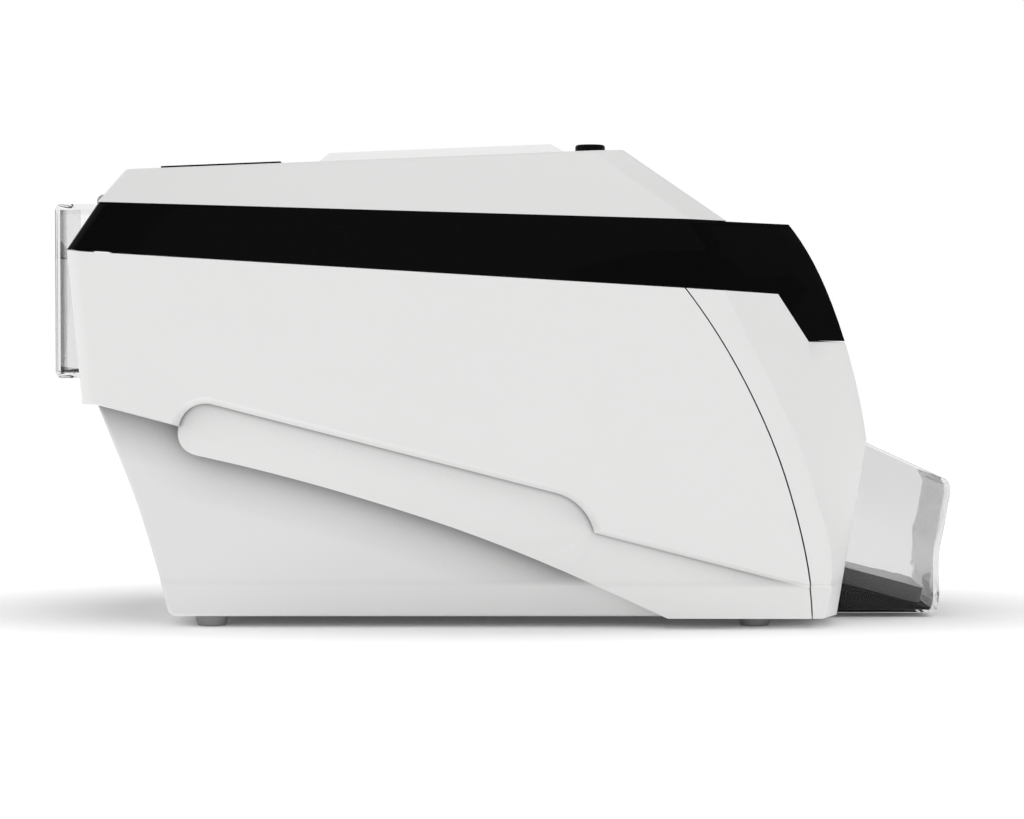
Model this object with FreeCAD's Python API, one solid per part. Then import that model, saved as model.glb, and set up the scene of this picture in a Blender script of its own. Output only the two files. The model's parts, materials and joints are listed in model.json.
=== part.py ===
import FreeCAD, Part
import math
import os

Vector = FreeCAD.Vector

# Desk-top printer for plastic ID cards, in millimetres.
# +X is the front, +Z is up, the photographed side is -Y, the origin is the middle of the footprint.

# Overall size
overall_length = 403.34
overall_height = 215.0
body_width = 190.0

# Outline points are near-side pixels of the photograph, turned into sizes by these two scales
rear_px, front_px, middle_px = 32.0, 970.0, 501.0
floor_py, top_py = 632.0, 132.0
length_per_px = overall_length / (front_px - rear_px)
height_per_px = overall_height / (floor_py - top_py)

# Places inside were drawn at this scale, and move with the overall sizes
drawn_per_px = 0.43
along, up = length_per_px / drawn_per_px, height_per_px / drawn_per_px

# Walls and gaps
shell_wall = 3.0
layer_wall, layer_step = 2.5, 2.5
grip_depth, base_recess = 4.2, 9.3
cover_wall = 2.5
clear_wall = 2.4
seam_gap, seam_width = 0.45, 0.62
fit_gap = 0.3
running_gap = 0.05
overrun = 20.0
half_width = body_width / 2
inner_half = half_width - shell_wall
mid_half = half_width - grip_depth
base_half = mid_half - base_recess
base_wall = 2.5
base_inner_half = base_half - base_wall

# Body outline
band_top_rear, band_top_front = (97.0, 203.3), (793.0, 223.5)
front_curve = [(818.8, 262.9), (840.2, 311.7), (856.0, 360.6), (865.0, 397.2)]
front_crest = (873.2, 442.0)
front_toe = (843.0, 620.8)
rear_hip, rear_shoulder = (80.0, 402.0), (65.5, 249.5)
rear_edge_round = 6.0

# Front corner facets: height in the photo, crease on the side, edge on the front, depth
facet_levels = [(150.0, 653.0, 780.0), (224.0, 690.0, 795.0), (295.0, 726.0, 834.4), (351.0, 754.0, 853.2),
                (407.0, 782.0, 867.0), (461.0, 805.0, 870.0), (500.0, 817.0, 863.4), (587.0, 831.0, 848.7),
                (620.8, 820.2, 843.0), (640.0, 814.0, 839.8)]
facet_depth = 22.0

# Band and seam lines
band_low_rear, band_low_corner = (65.0, 250.0), (780.2, 293.3)
band_drop = (811.9, 341.5)
front_panel_low = 343.2
seam_curve = [(677.6, 280.0), (726.2, 350.0), (755.0, 404.0), (778.0, 458.0), (795.0, 512.0),
              (807.4, 566.0), (813.3, 621.0)]

# Side shell lower edge, grip pocket and ledge
shell_low_rear, shell_low_mid = (97.0, 405.8), (178.0, 427.4)
pocket_crown, pocket_top_right, pocket_end = (211.4, 405.1), (556.1, 494.0), (594.5, 534.0)
ledge_knee, ledge_front = (807.0, 589.0), (900.0, 589.0)
lip_width, lip_depth = 2.9, 2.4
ledge_lip_share, low_lip_share = 0.58, 0.2

# Middle layer lower arc and the base outline
arc_start, arc_round, arc_left = (177.0, 427.1), (179.5, 446.0), (200.5, 457.6)
arc_points = [(289.2, 479.1), (379.5, 505.2), (469.9, 535.3), (560.2, 571.4), (620.4, 598.5)]
arc_front = (668.5, 620.8)
base_rear_top = (90.8, 401.5)
base_rear_curve = [(108.5, 446.8), (127.7, 495.1), (143.4, 543.4), (157.1, 591.7)]
base_rear_low = (162.8, 615.2)
base_front_px, base_low_py = 808.0, 620.8
base_corner, base_edge_round = 2.4, 1.7
base_floor = 3.0

# Top cover
cover_gap = 0.35
cover_bottom_in, cover_corner_in, cover_top_in, cover_top_front_in = 0.4, 8.6, 24.0, 29.0
cover_bottom_half = half_width - cover_bottom_in
cover_corner_half = half_width - cover_corner_in
cover_top_half, cover_top_front_half = half_width - cover_top_in, half_width - cover_top_front_in
cover_rear_top = (118.4, 166.9)
cover_side_front, cover_side_front_top = (689.0, 220.5), (592.5, 147.8)
cover_front_low, cover_front_top = (727.5, 221.6), (625.3, 146.5)
cover_edge_round = 3.5
platform_rear, platform_front = (300.0, 158.5), (583.0, 147.9)
platform_top_rear, platform_top_front = (321.5, 145.9), (551.8, 136.7)
platform_base_in, platform_top_in, window_in = 25.0, 33.0, 13.0
platform_base_half, platform_top_half = cover_top_half - platform_base_in, cover_top_half - platform_top_in
window_rear_px, window_front_px = 150.9, 274.4
window_half = cover_top_half - window_in
window_proud, window_seat, window_ledge = 1.5, 1.2, 3.0

# Release button
button_x, button_radius, button_round = 40.8 * along, 6.9, 1.2
button_depth, button_flange_radius, button_flange = 9.0, 8.8, 1.6
button_stem_radius = 3.0

# Cover hinge at the rear edge
hinge_out, hinge_up = 3.15, 0.5
hinge_pin_radius, hinge_barrel_radius = 1.5, 3.0
hinge_y, hinge_barrel, hinge_arm = 40.0, 7.4, 4.0
hinge_leaf, hinge_leaf_depth = 1.6, 14.0

# Cards and the card path
card_length, card_width, card_thickness = 85.6, 53.98, 0.76
card_corner = 3.18
card_count = 9
card_gap = 0.05
path_x, path_z = -106.0 * along, 112.8 * up
path_slope = math.radians(8.5)
roller_radius, shaft_radius = 8.0, 3.0
pinch_radius, pinch_shaft_radius = 5.0, 2.0
nip_gap = 0.4
rear_drive_s, platen_s, exit_s = 52.0, 102.0, 177.0

# Chassis
plate_inner_half, plate_thickness = 36.0, 1.5
plate_rear, plate_low_rear, plate_front = -160.0 * along, -129.0 * along, 100.0 * along
plate_top, plate_step_low, plate_step_high, plate_nose = 169.5 * up, 82.0 * up, 92.0 * up, 12.0
flange_width, top_flange_width, top_flange_front = 8.0, 3.0, 5.0 * along
plate_windows = [(x_low * along, x_high * along, z_low * up, z_high * up) for x_low, x_high, z_low, z_high in
                 [(-114.0, -74.0, 24.0, 80.0), (-62.0, 0.0, 24.0, 70.0), (60.0, 92.0, 100.0, 130.0)]]
bar_radius = 3.0
bar_places = [(x * along, z * up) for x, z in [(-121.0, 50.0), (62.0, 34.0), (80.0, 150.0), (-90.0, 150.0)]]
stub_radius = 2.5

# Gear train, outside the right-hand plate
gear_module = 1.0
gear_backlash = 0.11
gear_addendum, gear_dedendum = 0.88, 1.2
pressure_angle = math.radians(20.0)
gear_width = 6.0
gear_gap = 0.5
roller_teeth, big_teeth, takeup_teeth, pinion_teeth = 25, 50, 60, 15
takeup_top_gap, takeup_steepest = 0.72, 0.99
pinion_angle = math.radians(-90.0)

# Feeder
tray_drop = 0.4
tray_top, tray_thickness = path_z - tray_drop, 1.5
tray_rear = -198.0 * along
guide_half, guide_wall, guide_top = 28.0, 2.0, 180.0 * up
feeder_rear, feeder_front = -168.0 * along, path_x
card_slot = 1.4
pick_x, pick_radius = -140.0 * along, 9.0
pick_inner, pick_width = 9.0, 12.0
pick_slot_gap = 1.0
gate_half, gate_top, gate_thickness = 6.0, 140.0 * up, 1.5

# Rear hopper cover
hopper_half = 34.0
hopper_top_py, hopper_bottom_py = 198.9, 381.1
hopper_round = 3.0
hopper_pivot_x, hopper_pivot_z, hopper_pin_radius = -184.6 * along, 109.5 * up, 1.5
hopper_lug, hopper_lug_gap, hopper_lug_radius = 3.0, 1.0, 3.4
hopper_front_x, hopper_floor_front_x, hopper_roof_front_x = -177.1 * along, -184.2 * along, -179.9 * along
rear_panel_half = 60.0

# Output hopper
tray_half = 39.0
tray_slope = math.radians(15.3)
stack_front_x, stack_front_z = 192.0 * along, 12.0 * up
hopper_profile = [(967.0, 487.0), (970.0, 492.0), (969.0, 512.0), (963.8, 542.5), (960.7, 557.1),
                  (959.8, 600.0), (959.6, 616.0)]
hopper_mouth = (880.0, 447.0)
mouth_gap, mouth_top_py = 0.6, 443.5
bay_cut_x, bay_top_z = 104.0 * along, 76.0 * up
hopper_toe, hopper_sole_front, hopper_sole_rear = (957.6, 624.0), (950.0, 627.2), (853.0, 627.2)
hopper_back_x, hopper_back_low, hopper_back_high = 107.0 * along, 24.0 * up, 44.0 * up
hopper_knee_x, hopper_knee_z = 150.0 * along, 71.0 * up
sole_wall, floor_plate = 1.2, 1.2

# Ribbon
supply_x, supply_z, supply_film_radius = -50.0 * along, 150.0 * up, 19.0
core_radius, core_bore, core_bore_depth = 8.0, 5.0, 6.0
takeup_film_radius = 11.0
spool_half = 34.5
film_half, film_thickness = 29.5, 0.3

# Print head
head_half, head_gap = 28.0, 0.7
head_face, head_collar, head_foot_height = 4.0, 7.0, 7.6
sink_front, sink_rear, sink_rise, sink_height, sink_slope = 8.0, 8.0, 11.0, 26.0, 6.0
sink_fin, sink_fin_depth = 1.6, 5.0
bracket_wall, bracket_gap, bracket_front, bracket_rear = 2.0, 3.0, 8.0, 9.0
head_pin_radius, head_pin_rise, head_travel = 2.0, 19.0, 1.2

# Inner deck
deck_thickness, deck_front, deck_rear = 2.0, 112.0 * along, -170.0 * along
deck_opening_half, deck_opening_front = 35.5, 92.0 * along
latch_slot_behind, latch_slot_ahead = 5.4, 8.0

# Latch bar
latch_rise = 12.5
latch_x, latch_z, latch_radius = 72.0 * along, plate_top + latch_rise, 2.5
latch_hook_y, latch_hook_width, latch_half = 44.0, 4.0, 56.0
latch_arm_half, latch_arm_thickness, latch_arm_neck = 4.0, 3.0, 3.9
latch_nose, latch_shank, latch_below_deck = 3.0, 3.0, 4.5
latch_pad_behind, latch_pad_ahead = 3.8, 3.2
latch_pad_rear, latch_pad_front = button_x - latch_pad_behind, button_x + latch_pad_ahead
latch_lug_y, latch_lug_width, latch_lug_wall = 50.0, 3.5, 2.5

# Feet and screws
foot_inset = 11.0
foot_rear_x, foot_front_x, foot_y = -127.2 * along, 111.3 * along, base_half - foot_inset
foot_top_radius, foot_low_radius = 7.5, 6.2
screw_places_x = [x * along for x in (-121.0, -20.0, 80.0)]
screw_head_radius, screw_radius, screw_head, screw_length = 2.8, 1.5, 1.6, 8.0
screw_slot = 0.6

# Rear connectors
bay_half, bay_low, bay_high, bay_wall = 60.0, 22.0 * up, 75.0 * up, 2.0
bay_plate_x, bay_plate = -144.5 * along, 1.5
power_y, power_z, power_body, power_bore, power_pin = -42.0, 40.0 * up, 14.0, 3.25, 1.0
usb_y, usb_width, usb_height = 12.0, 12.0, 11.0
network_y, network_width, network_height = 40.0, 16.0, 13.5
socket_depth, socket_wall = 14.0, 1.2
switch_y, switch_z, switch_width, switch_height = -42.0, 61.0 * up, 21.0, 15.0
rocker_width, rocker_height, rocker_angle, rocker_back_share = 16.0, 10.0, math.radians(9.0), 0.6

# Motor, board and fan
motor_radius, motor_length, motor_shaft_radius = 17.5, 24.0, 1.5
board_rear, board_front, board_low, board_high = -112.0 * along, -14.0 * along, 34.0 * up, 104.0 * up
board_thickness, board_standoff, standoff_radius = 1.6, 6.0, 3.0
# Big chip, small chip, as shares of the board's height: rear, front, low and high ends
chip_shares = [(0.5, 0.75, 0.5, 0.75), (1.0, 1.15, 0.3, 0.5)]
capacitor_shares = [(0.12, 0.2), (0.3, 0.2)]
fan_x, fan_y, fan_side, fan_depth = -62.0 * along, 0.0, 40.0, 10.0
fan_hub_radius, fan_blades, fan_blade_lean, fan_wall = 9.0, 7, 40.0, 1.0
vent_count, vent_width = 5, 3.0

# Belt
pulley_radius, belt_thickness, belt_width = 6.0, 1.2, 5.0
belt_gap = 0.1

# Front panel
display_half, display_low, display_high, display_depth = 28.0, 139.0 * up, 165.0 * up, 1.4
key_y, key_radius, key_depth, key_travel = 47.0, 5.0, 7.0, 1.2
key_point = (824.8, 275.0)
key_lean = math.radians(30.0)
key_proud = 0.8

os.makedirs("parts", exist_ok=True)


def x_of(px):
    return (px - middle_px) * length_per_px


def z_of(py):
    return (floor_py - py) * height_per_px


def at(point, y=0.0):
    return Vector(x_of(point[0]), y, z_of(point[1]))


def spot(x, z):
    return Vector(x, 0.0, z)


def write(shape, name):
    solids = shape.Solids
    result = solids[0] if len(solids) == 1 else Part.makeCompound(solids)
    result.exportStep("parts/" + name + ".step")
    volume = sum(s.Volume for s in solids)
    print(name, "solids", len(solids), "volume", round(volume), "valid", result.isValid())


def fuse(shapes):
    result = shapes[0]
    for shape in shapes[1:]:
        result = result.fuse(shape)
    return result.removeSplitter()


def cut(shape, tools):
    for tool in tools:
        shape = shape.cut(tool)
    return shape


def both_sides(shape):
    return [shape, shape.mirror(Vector(0, 0, 0), Vector(0, 1, 0))]


def block(x_low, x_high, y_low, y_high, z_low, z_high):
    size = (x_high - x_low, y_high - y_low, z_high - z_low)
    return Part.makeBox(size[0], size[1], size[2], Vector(x_low, y_low, z_low))


def rod(x, z, y_low, y_high, radius):
    return Part.makeCylinder(radius, y_high - y_low, Vector(x, y_low, z), Vector(0, 1, 0))


def upright(x, y, z_low, z_high, radius):
    return Part.makeCylinder(radius, z_high - z_low, Vector(x, y, z_low))


def prism_of_edges(edges, y_low, y_high):
    wire = Part.Wire(Part.__sortEdges__(edges))
    face = Part.Face(wire)
    face.translate(Vector(0, y_low, 0))
    return face.extrude(Vector(0, y_high - y_low, 0))


def chain(points):
    return [Part.LineSegment(a, b).toShape() for a, b in zip(points, points[1:])]


def prism(points, y_low, y_high):
    return prism_of_edges(chain(points + [points[0]]), y_low, y_high)


def curve(points):
    spline = Part.BSplineCurve()
    spline.interpolate(points)
    return spline.toShape()


def tangent_arc(start, direction, end):
    # Arc in the XZ plane that leaves start along direction and ends at end
    reach = end - start
    normal = Vector(-direction.z, 0, direction.x)
    normal.normalize()
    if normal.dot(reach) < 0:
        normal = -normal
    radius = reach.Length ** 2 / (2 * normal.dot(reach))
    centre = start + normal * radius
    middle = (start + end) * 0.5 - centre
    middle.normalize()
    return Part.Arc(start, centre + middle * radius, end).toShape()


def ring(points):
    return Part.makePolygon(points + [points[0]])


def path_point(s, offset=0.0):
    x = path_x + s * math.cos(path_slope) - offset * math.sin(path_slope)
    z = path_z - s * math.sin(path_slope) - offset * math.cos(path_slope)
    return x, z


# The outer form of the body, and the same form drawn in by a wall


def unit(vector):
    return vector * (1 / vector.Length)


def facet_cutter(inset):
    wires = []
    for py, crease_px, front_edge_px in facet_levels:
        crease = Vector(x_of(crease_px), -half_width, z_of(py))
        edge = Vector(x_of(front_edge_px), -half_width + facet_depth, z_of(py))
        forward = unit(edge - crease)
        outward = Vector(forward.y, -forward.x, 0)
        start = crease - forward * overrun - outward * inset
        end = edge + forward * overrun * 2 - outward * inset
        wires.append(ring([start, end, end + outward * overrun * 3, start + outward * overrun * 3]))
    return Part.makeLoft(wires, True, False)


def inward(direction):
    # Square to a direction of travel round the outline, towards its inside
    return Vector(direction.z, 0, -direction.x)


def meet(p, along_p, q, along_q):
    # Where two lines in the XZ plane cross
    turn = along_p.x * along_q.z - along_p.z * along_q.x
    reach = ((q.x - p.x) * along_q.z - (q.z - p.z) * along_q.x) / turn
    return p + along_p * reach


def body_outline(inset):
    knots = [at(p) for p in [band_top_front] + front_curve + [front_crest]]
    spline = Part.BSplineCurve()
    spline.interpolate(knots)
    slopes = [unit(spline.tangent(spline.parameter(p))[0]) for p in knots]
    rear_slope = at(rear_hip) - at(rear_shoulder)
    rear_heel = at(rear_hip) + rear_slope * ((at(front_toe).z - at(rear_hip).z) / rear_slope.z)
    corners = [at(front_crest), at(front_toe), rear_heel, at(rear_shoulder), at(band_top_rear),
               at(band_top_front)]
    headings = [slopes[-1]] + [unit(b - a) for a, b in zip(corners, corners[1:])] + [slopes[0]]
    drawn = [meet(corner + inward(before) * inset, before, corner + inward(after) * inset, after)
             for corner, before, after in zip(corners, headings, headings[1:])]
    middle = [knot + inward(slope) * inset for knot, slope in zip(knots, slopes)][1:-1]
    return chain(drawn) + [curve([drawn[-1]] + middle + [drawn[0]])]


def body_form(inset):
    face = Part.Face(Part.Wire(Part.__sortEdges__(body_outline(inset))))
    half = half_width - inset
    face.translate(Vector(0, -half, 0))
    form = face.extrude(Vector(0, 2 * half, 0))
    rear_edges = []
    for edge in form.Edges:
        middle = edge.CenterOfMass
        on_side = abs(abs(middle.y) - half) < seam_gap
        if on_side and middle.x < x_of(band_top_rear[0]) and len(edge.Vertexes) == 2:
            a, b = [v.Point for v in edge.Vertexes]
            if abs(a.z - b.z) > abs(a.x - b.x):
                rear_edges.append(edge)
    form = form.makeFillet(rear_edge_round - inset, rear_edges)
    return cut(form, both_sides(facet_cutter(inset)))


outer_form = body_form(0)
inner_form = body_form(shell_wall)
skin = outer_form.cut(inner_form)
print("forms", outer_form.isValid(), inner_form.isValid(), skin.isValid())


def band_region(drop):
    far = x_of(front_px)
    back = x_of(rear_px)
    lowered = Vector(0, 0, -drop)
    points = [spot(back, z_of(band_low_rear[1])) + lowered, at(band_low_rear) + lowered,
              at(band_low_corner) + lowered, at(band_drop) + lowered,
              spot(far, z_of(front_panel_low)) + lowered, spot(far, overall_height),
              spot(back, overall_height)]
    return prism(points, -half_width - overrun, half_width + overrun)


def seam_edges(shift):
    return curve([at(p) + Vector(shift, 0, 0) for p in seam_curve])


def fascia_region(gap):
    # Everything in front of the seam curve, moved forward by a gap
    top, low = at(seam_curve[0]) + Vector(gap, 0, 0), at(seam_curve[-1]) + Vector(gap, 0, 0)
    deep = low.z - overrun
    edges = [seam_edges(gap)]
    edges += chain([low, spot(low.x, deep), spot(x_of(front_px), deep), spot(x_of(front_px), top.z), top])
    return prism_of_edges(edges, -half_width - overrun, half_width + overrun)


def lip_outline(inset):
    # Outline of the outer layer, in order, with its lower lip drawn up by inset
    rear, mid, crown = at(shell_low_rear), at(shell_low_mid), at(pocket_crown)
    corner, end, knee, ledge = at(pocket_top_right), at(pocket_end), at(ledge_knee), at(ledge_front)
    top = (crown - corner).cross(Vector(0, 1, 0)).normalize() * -inset
    low = (rear - mid).cross(Vector(0, 1, 0)).normalize() * -inset * low_lip_share
    step = (end - knee).cross(Vector(0, 1, 0)).normalize() * -inset * ledge_lip_share
    level = Vector(0, 0, inset * ledge_lip_share)
    back = spot(x_of(rear_px), z_of(rear_hip[1]))
    mid_shift = low + unit(rear - mid) * inset
    points = [back + Vector(0, 0, inset * low_lip_share), rear + low, mid + mid_shift, crown + top,
              corner + top, end + step + Vector(inset, 0, 0), knee + level, ledge + level]
    slant = points[4] - points[3]
    edges = chain(points[:3])
    edges.append(tangent_arc(points[3], -slant, points[2]))
    edges += chain(points[3:5])
    edges.append(tangent_arc(points[4], slant, points[5]))
    edges += chain(points[5:])
    roof = z_of(band_top_rear[1])
    edges += chain([points[-1], spot(x_of(ledge_front[0]), roof), spot(x_of(rear_px), roof), points[0]])
    return edges


def outer_layer_region():
    # The lip's slanted strip lies between two like outlines, one lip depth apart
    strip_inner = -half_width + lip_depth
    outer_wire = Part.Wire(lip_outline(lip_width * 2))
    inner_wire = Part.Wire(lip_outline(0))
    outer_wire.translate(Vector(0, -half_width - lip_depth, 0))
    inner_wire.translate(Vector(0, strip_inner, 0))
    strip = Part.makeLoft([outer_wire, inner_wire], True, True)
    rest = prism_of_edges(lip_outline(0), strip_inner, -rear_panel_half - fit_gap)
    return strip.fuse(rest)


def below_lip():
    # All that lies outside the middle layer's face and below the outer layer's lip
    slab = block(-overall_length, overall_length, -half_width - overrun, -mid_half, 0, overall_height)
    return slab.cut(outer_layer_region())


def mid_layer_region():
    top_seam, low_seam = at(seam_curve[0]), at(seam_curve[-1])
    arc = [at(arc_left)] + [at(p) for p in arc_points] + [at(arc_front)]
    edges = [seam_edges(0)]
    edges += chain([low_seam, at(arc_front)])
    edges.append(curve(arc))
    edges.append(curve([at(arc_start), at(arc_round), at(arc_left)]))
    clear_x = x_of(rear_hip[0]) + shell_wall
    edges += chain([at(arc_start), at(shell_low_rear), spot(clear_x, z_of(rear_hip[1])),
                    spot(clear_x, top_seam.z), top_seam])
    return edges


def side_shell():
    # The right-hand shell, on the photographed side; the left-hand one is its mirror image
    plate = skin.common(outer_layer_region())
    plate = cut(plate, [band_region(seam_gap), fascia_region(0)])
    backing = prism_of_edges(mid_layer_region(), -inner_half, -base_half)
    room = prism_of_edges(mid_layer_region(), -mid_half + layer_wall, -base_half + overrun)
    room.translate(Vector(layer_wall, 0, layer_wall))
    return fuse([plate, cut(backing, [room, below_lip(), band_region(seam_gap)])])


near_shell = side_shell()
write(near_shell, "side_shell_right")
write(both_sides(near_shell)[1], "side_shell_left")


# Casing pieces


def base_outline_points():
    rear = [at(base_rear_top)] + [at(p) for p in base_rear_curve] + [at(base_rear_low)]
    return rear


def base_floor_z():
    return z_of(base_low_py)


def base_tub():
    rear = base_outline_points()
    low_rear = rear[-1] + Vector(base_corner, 0, 0)
    low_rear.z = base_floor_z()
    low_front = spot(x_of(base_front_px), base_floor_z())
    high_front = spot(x_of(seam_curve[2][0]) - flange_width, rear[0].z)
    edges = [curve(rear)] + chain([rear[-1], low_rear, low_front, high_front, rear[0]])
    tub = prism_of_edges(edges, -base_half, base_half)
    seen_edges = [e for e in tub.Edges if abs(abs(e.CenterOfMass.y) - base_half) < seam_gap
                  and (e.CenterOfMass.x < low_rear.x or e.BoundBox.ZMax < low_rear.z + seam_gap)]
    tub = tub.makeFillet(base_edge_round, seen_edges)
    inner_rear = [p + Vector(layer_step, 0, 0) for p in rear]
    inner_low = inner_rear[-1] + Vector(base_corner, 0, 0)
    inner_low.z = base_floor_z() + base_floor
    inner_rear = inner_rear[:-1] + [inner_low]
    above = spot(inner_rear[0].x, rear[0].z + overrun)
    far = spot(low_front.x + overrun, inner_low.z)
    edges = [curve(inner_rear)] + chain([inner_low, far, spot(far.x, above.z), above, inner_rear[0]])
    hollow = prism_of_edges(edges, -base_inner_half, base_inner_half)
    outer_bay = block(x_of(rear_px), bay_plate_x + bay_plate, -bay_half - bay_wall, bay_half + bay_wall,
                      bay_low - bay_wall, bay_high + bay_wall)
    inner_bay = block(x_of(rear_px), bay_plate_x + overrun, -bay_half, bay_half, bay_low, bay_high)
    shell = fuse([tub.cut(hollow), tub.common(outer_bay), tub.common(hopper_bay(base_wall, bay_top_z))])
    shell = shell.cut(inner_bay)
    tools = [hopper_bay(0, overall_height)]
    floor_low, floor_high = base_floor_z(), base_floor_z() + base_floor
    for x in screw_places_x:
        for y in (-screw_y(), screw_y()):
            tools.append(upright(x, y, floor_low, floor_high, screw_radius + fit_gap / 2))
            tools.append(upright(x, y, floor_low, floor_low + screw_head, screw_head_radius + fit_gap))
    pitch = (fan_side - vent_width) / vent_count
    for i in range(vent_count):
        x = fan_x - fan_side / 2 + vent_width + pitch * i
        reach = fan_side / 2 - vent_width
        tools.append(block(x, x + vent_width, fan_y - reach, fan_y + reach, floor_low, floor_high))
    return cut(shell, tools)


def hopper_bay(wall, top_z):
    half = tray_half + mouth_gap * 2 + wall
    return block(bay_cut_x - wall, overall_length, -half, half, 0, top_z)


def screw_y():
    return plate_inner_half + plate_thickness + flange_width / 2


def rear_panel():
    z_low, z_high = z_of(rear_hip[1]), z_of(band_top_rear[1])
    x_high = x_of(rear_hip[0]) + overrun
    panel = skin.common(block(x_of(rear_px), x_high, -rear_panel_half, rear_panel_half, z_low, z_high))
    panel = panel.cut(band_region(seam_gap))
    panel = panel.cut(hopper_opening())
    lug_y = hopper_half + hopper_lug_gap
    lug = rod(hopper_pivot_x, hopper_pivot_z, lug_y, lug_y + hopper_lug, hopper_lug_radius)
    root_block = block(hopper_pivot_x, x_of(rear_hip[0]), lug_y, lug_y + hopper_lug,
                       hopper_pivot_z - hopper_lug_radius, hopper_pivot_z + hopper_lug_radius)
    pin_hole = rod(hopper_pivot_x, hopper_pivot_z, 0, half_width, hopper_pin_radius + running_gap)
    lug = lug.fuse(root_block).cut(pin_hole)
    return fuse([panel] + both_sides(lug))


def hopper_opening():
    half = hopper_half + hopper_lug_gap
    low = z_of(hopper_bottom_py) - mouth_gap
    return block(x_of(rear_px), x_of(band_top_rear[0]) + overrun, -half, half, low, overall_height)


def front_fascia():
    front = skin.common(fascia_region(seam_width)).cut(band_region(seam_gap))
    cheek = inner_form.common(fascia_region(seam_width)).cut(band_region(seam_gap))
    room = cheek.common(fascia_region(seam_width + layer_wall))
    cheek = cheek.common(block(0, overall_length, -inner_half, -base_half, 0, overall_height))
    cheek = cheek.cut(room.common(block(0, overall_length, -mid_half + layer_wall, 0, 0, overall_height)))
    front = cut(fuse([front] + both_sides(cheek)), both_sides(below_lip()))
    half = tray_half + mouth_gap
    mouth = block(bay_cut_x, overall_length, -half, half, 0, z_of(mouth_top_py))
    return front.cut(mouth)


def top_opening():
    wall_x = x_of(band_top_rear[0]) + shell_wall
    low_z, front_x = z_of(band_top_rear[1]) - shell_wall * 2, x_of(cover_front_low[0]) - shell_wall / 2
    opening = prism([spot(wall_x, low_z), spot(wall_x, overall_height), spot(front_x, overall_height),
                     spot(front_x, z_of(band_top_front[1]) - shell_wall * 2)], -inner_half, inner_half)
    return cut(opening, both_sides(facet_cutter(shell_wall)))


def display_zone(gap):
    return block(0, overall_length, -display_half - gap, display_half + gap, display_low - gap,
                 display_high + gap)


def key_axis():
    return Vector(math.cos(key_lean), 0, math.sin(key_lean))


def key_cylinder(radius, low, high):
    base = at(key_point, key_y) + key_axis() * low
    return Part.makeCylinder(radius, high - low, base, key_axis())


def black_band():
    band = skin.common(band_region(0)).cut(top_opening()).cut(hopper_opening())
    pocket = display_zone(fit_gap / 2).cut(body_form(display_depth + fit_gap / 2))
    key_hole = key_cylinder(key_radius + fit_gap / 2, -overrun, overrun)
    return cut(band, [pocket, key_hole])


def display_window():
    return outer_form.cut(body_form(display_depth)).common(display_zone(0))


def panel_key():
    cap = key_cylinder(key_radius, -key_depth, key_proud)
    flange = key_cylinder(key_radius + layer_step / 2, -key_depth, -shell_wall - key_travel)
    return fuse([cap, flange])


# Cover


def cover_top_z(x):
    rear, front = at(cover_rear_top), at(cover_front_top)
    return rear.z + (front.z - rear.z) * (x - rear.x) / (front.x - rear.x)


def band_top_z(x):
    rear, front = at(band_top_rear), at(band_top_front)
    return rear.z + (front.z - rear.z) * (x - rear.x) / (front.x - rear.x)


def cover_ring(bottom, inset, rise):
    if bottom:
        xs = [x_of(band_top_rear[0]), x_of(cover_side_front[0]), x_of(cover_front_low[0])]
        halves = [cover_bottom_half, cover_bottom_half, cover_corner_half]
    else:
        xs = [x_of(cover_rear_top[0]), x_of(cover_side_front_top[0]), x_of(cover_front_top[0])]
        halves = [cover_top_half, cover_top_half, cover_top_front_half]
    xs = [xs[0] + inset, xs[1] - inset / 2, xs[2] - inset]
    zs = [band_top_z(x) + cover_gap if bottom else cover_top_z(x) for x in xs]
    right = [Vector(x, -half + inset, z + rise) for x, half, z in zip(xs, halves, zs)]
    left = [Vector(p.x, -p.y, p.z) for p in reversed(right)]
    return right + left


def extend_down(low, high, drop):
    # Carries the edge from high to low on to a plane that lies drop below the ring's own
    slope = band_top_z(1) - band_top_z(0)
    share = drop / (high.z - low.z - slope * (high.x - low.x))
    return low + (low - high) * share


def cover_solid(inset, rise, drop):
    low, high = cover_ring(True, inset, 0), cover_ring(False, inset, rise)
    if drop:
        low = [extend_down(a, b, drop) for a, b in zip(low, high)]
    return Part.makeLoft([ring(low), ring(high)], True, True)


def cover_form():
    form = cover_solid(0, 0, 0)
    rounded = [edge for edge in form.Edges if max(above_band(v.Point) for v in edge.Vertexes) > cover_wall]
    return form.makeFillet(cover_edge_round, rounded)


def above_band(point):
    return point.z - band_top_z(point.x) - cover_gap


def platform(inset):
    low_rear, low_front = at(platform_rear).x + inset, at(platform_front).x - inset
    high_rear, high_front = at(platform_top_rear), at(platform_top_front)
    low_half, high_half = platform_base_half - inset, platform_top_half - inset
    sunk = cover_wall + inset
    low = [Vector(x, y, cover_top_z(x) - sunk) for x, y in
           ((low_rear, -low_half), (low_front, -low_half), (low_front, low_half), (low_rear, low_half))]
    high = [Vector(p.x + shift, y, p.z - inset) for p, y, shift in
            ((high_rear, -high_half, inset), (high_front, -high_half, -inset),
             (high_front, high_half, -inset), (high_rear, high_half, inset))]
    return Part.makeLoft([ring(low), ring(high)], True, True)


def top_strip(x_low, x_high, low, high, half):
    # A slab between two heights over the cover's sloping top
    points = [spot(x_low, cover_top_z(x_low) + low), spot(x_high, cover_top_z(x_high) + low),
              spot(x_high, cover_top_z(x_high) + high), spot(x_low, cover_top_z(x_low) + high)]
    return prism(points, -half, half)


def hinge_directions():
    # Down the band's rear edge, and square to it away from the body
    down = unit(at(rear_shoulder) - at(band_top_rear))
    return down, inward(down)


def hinge_centre():
    down, outward = hinge_directions()
    return at(band_top_rear) + outward * hinge_out - down * hinge_up


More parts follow.
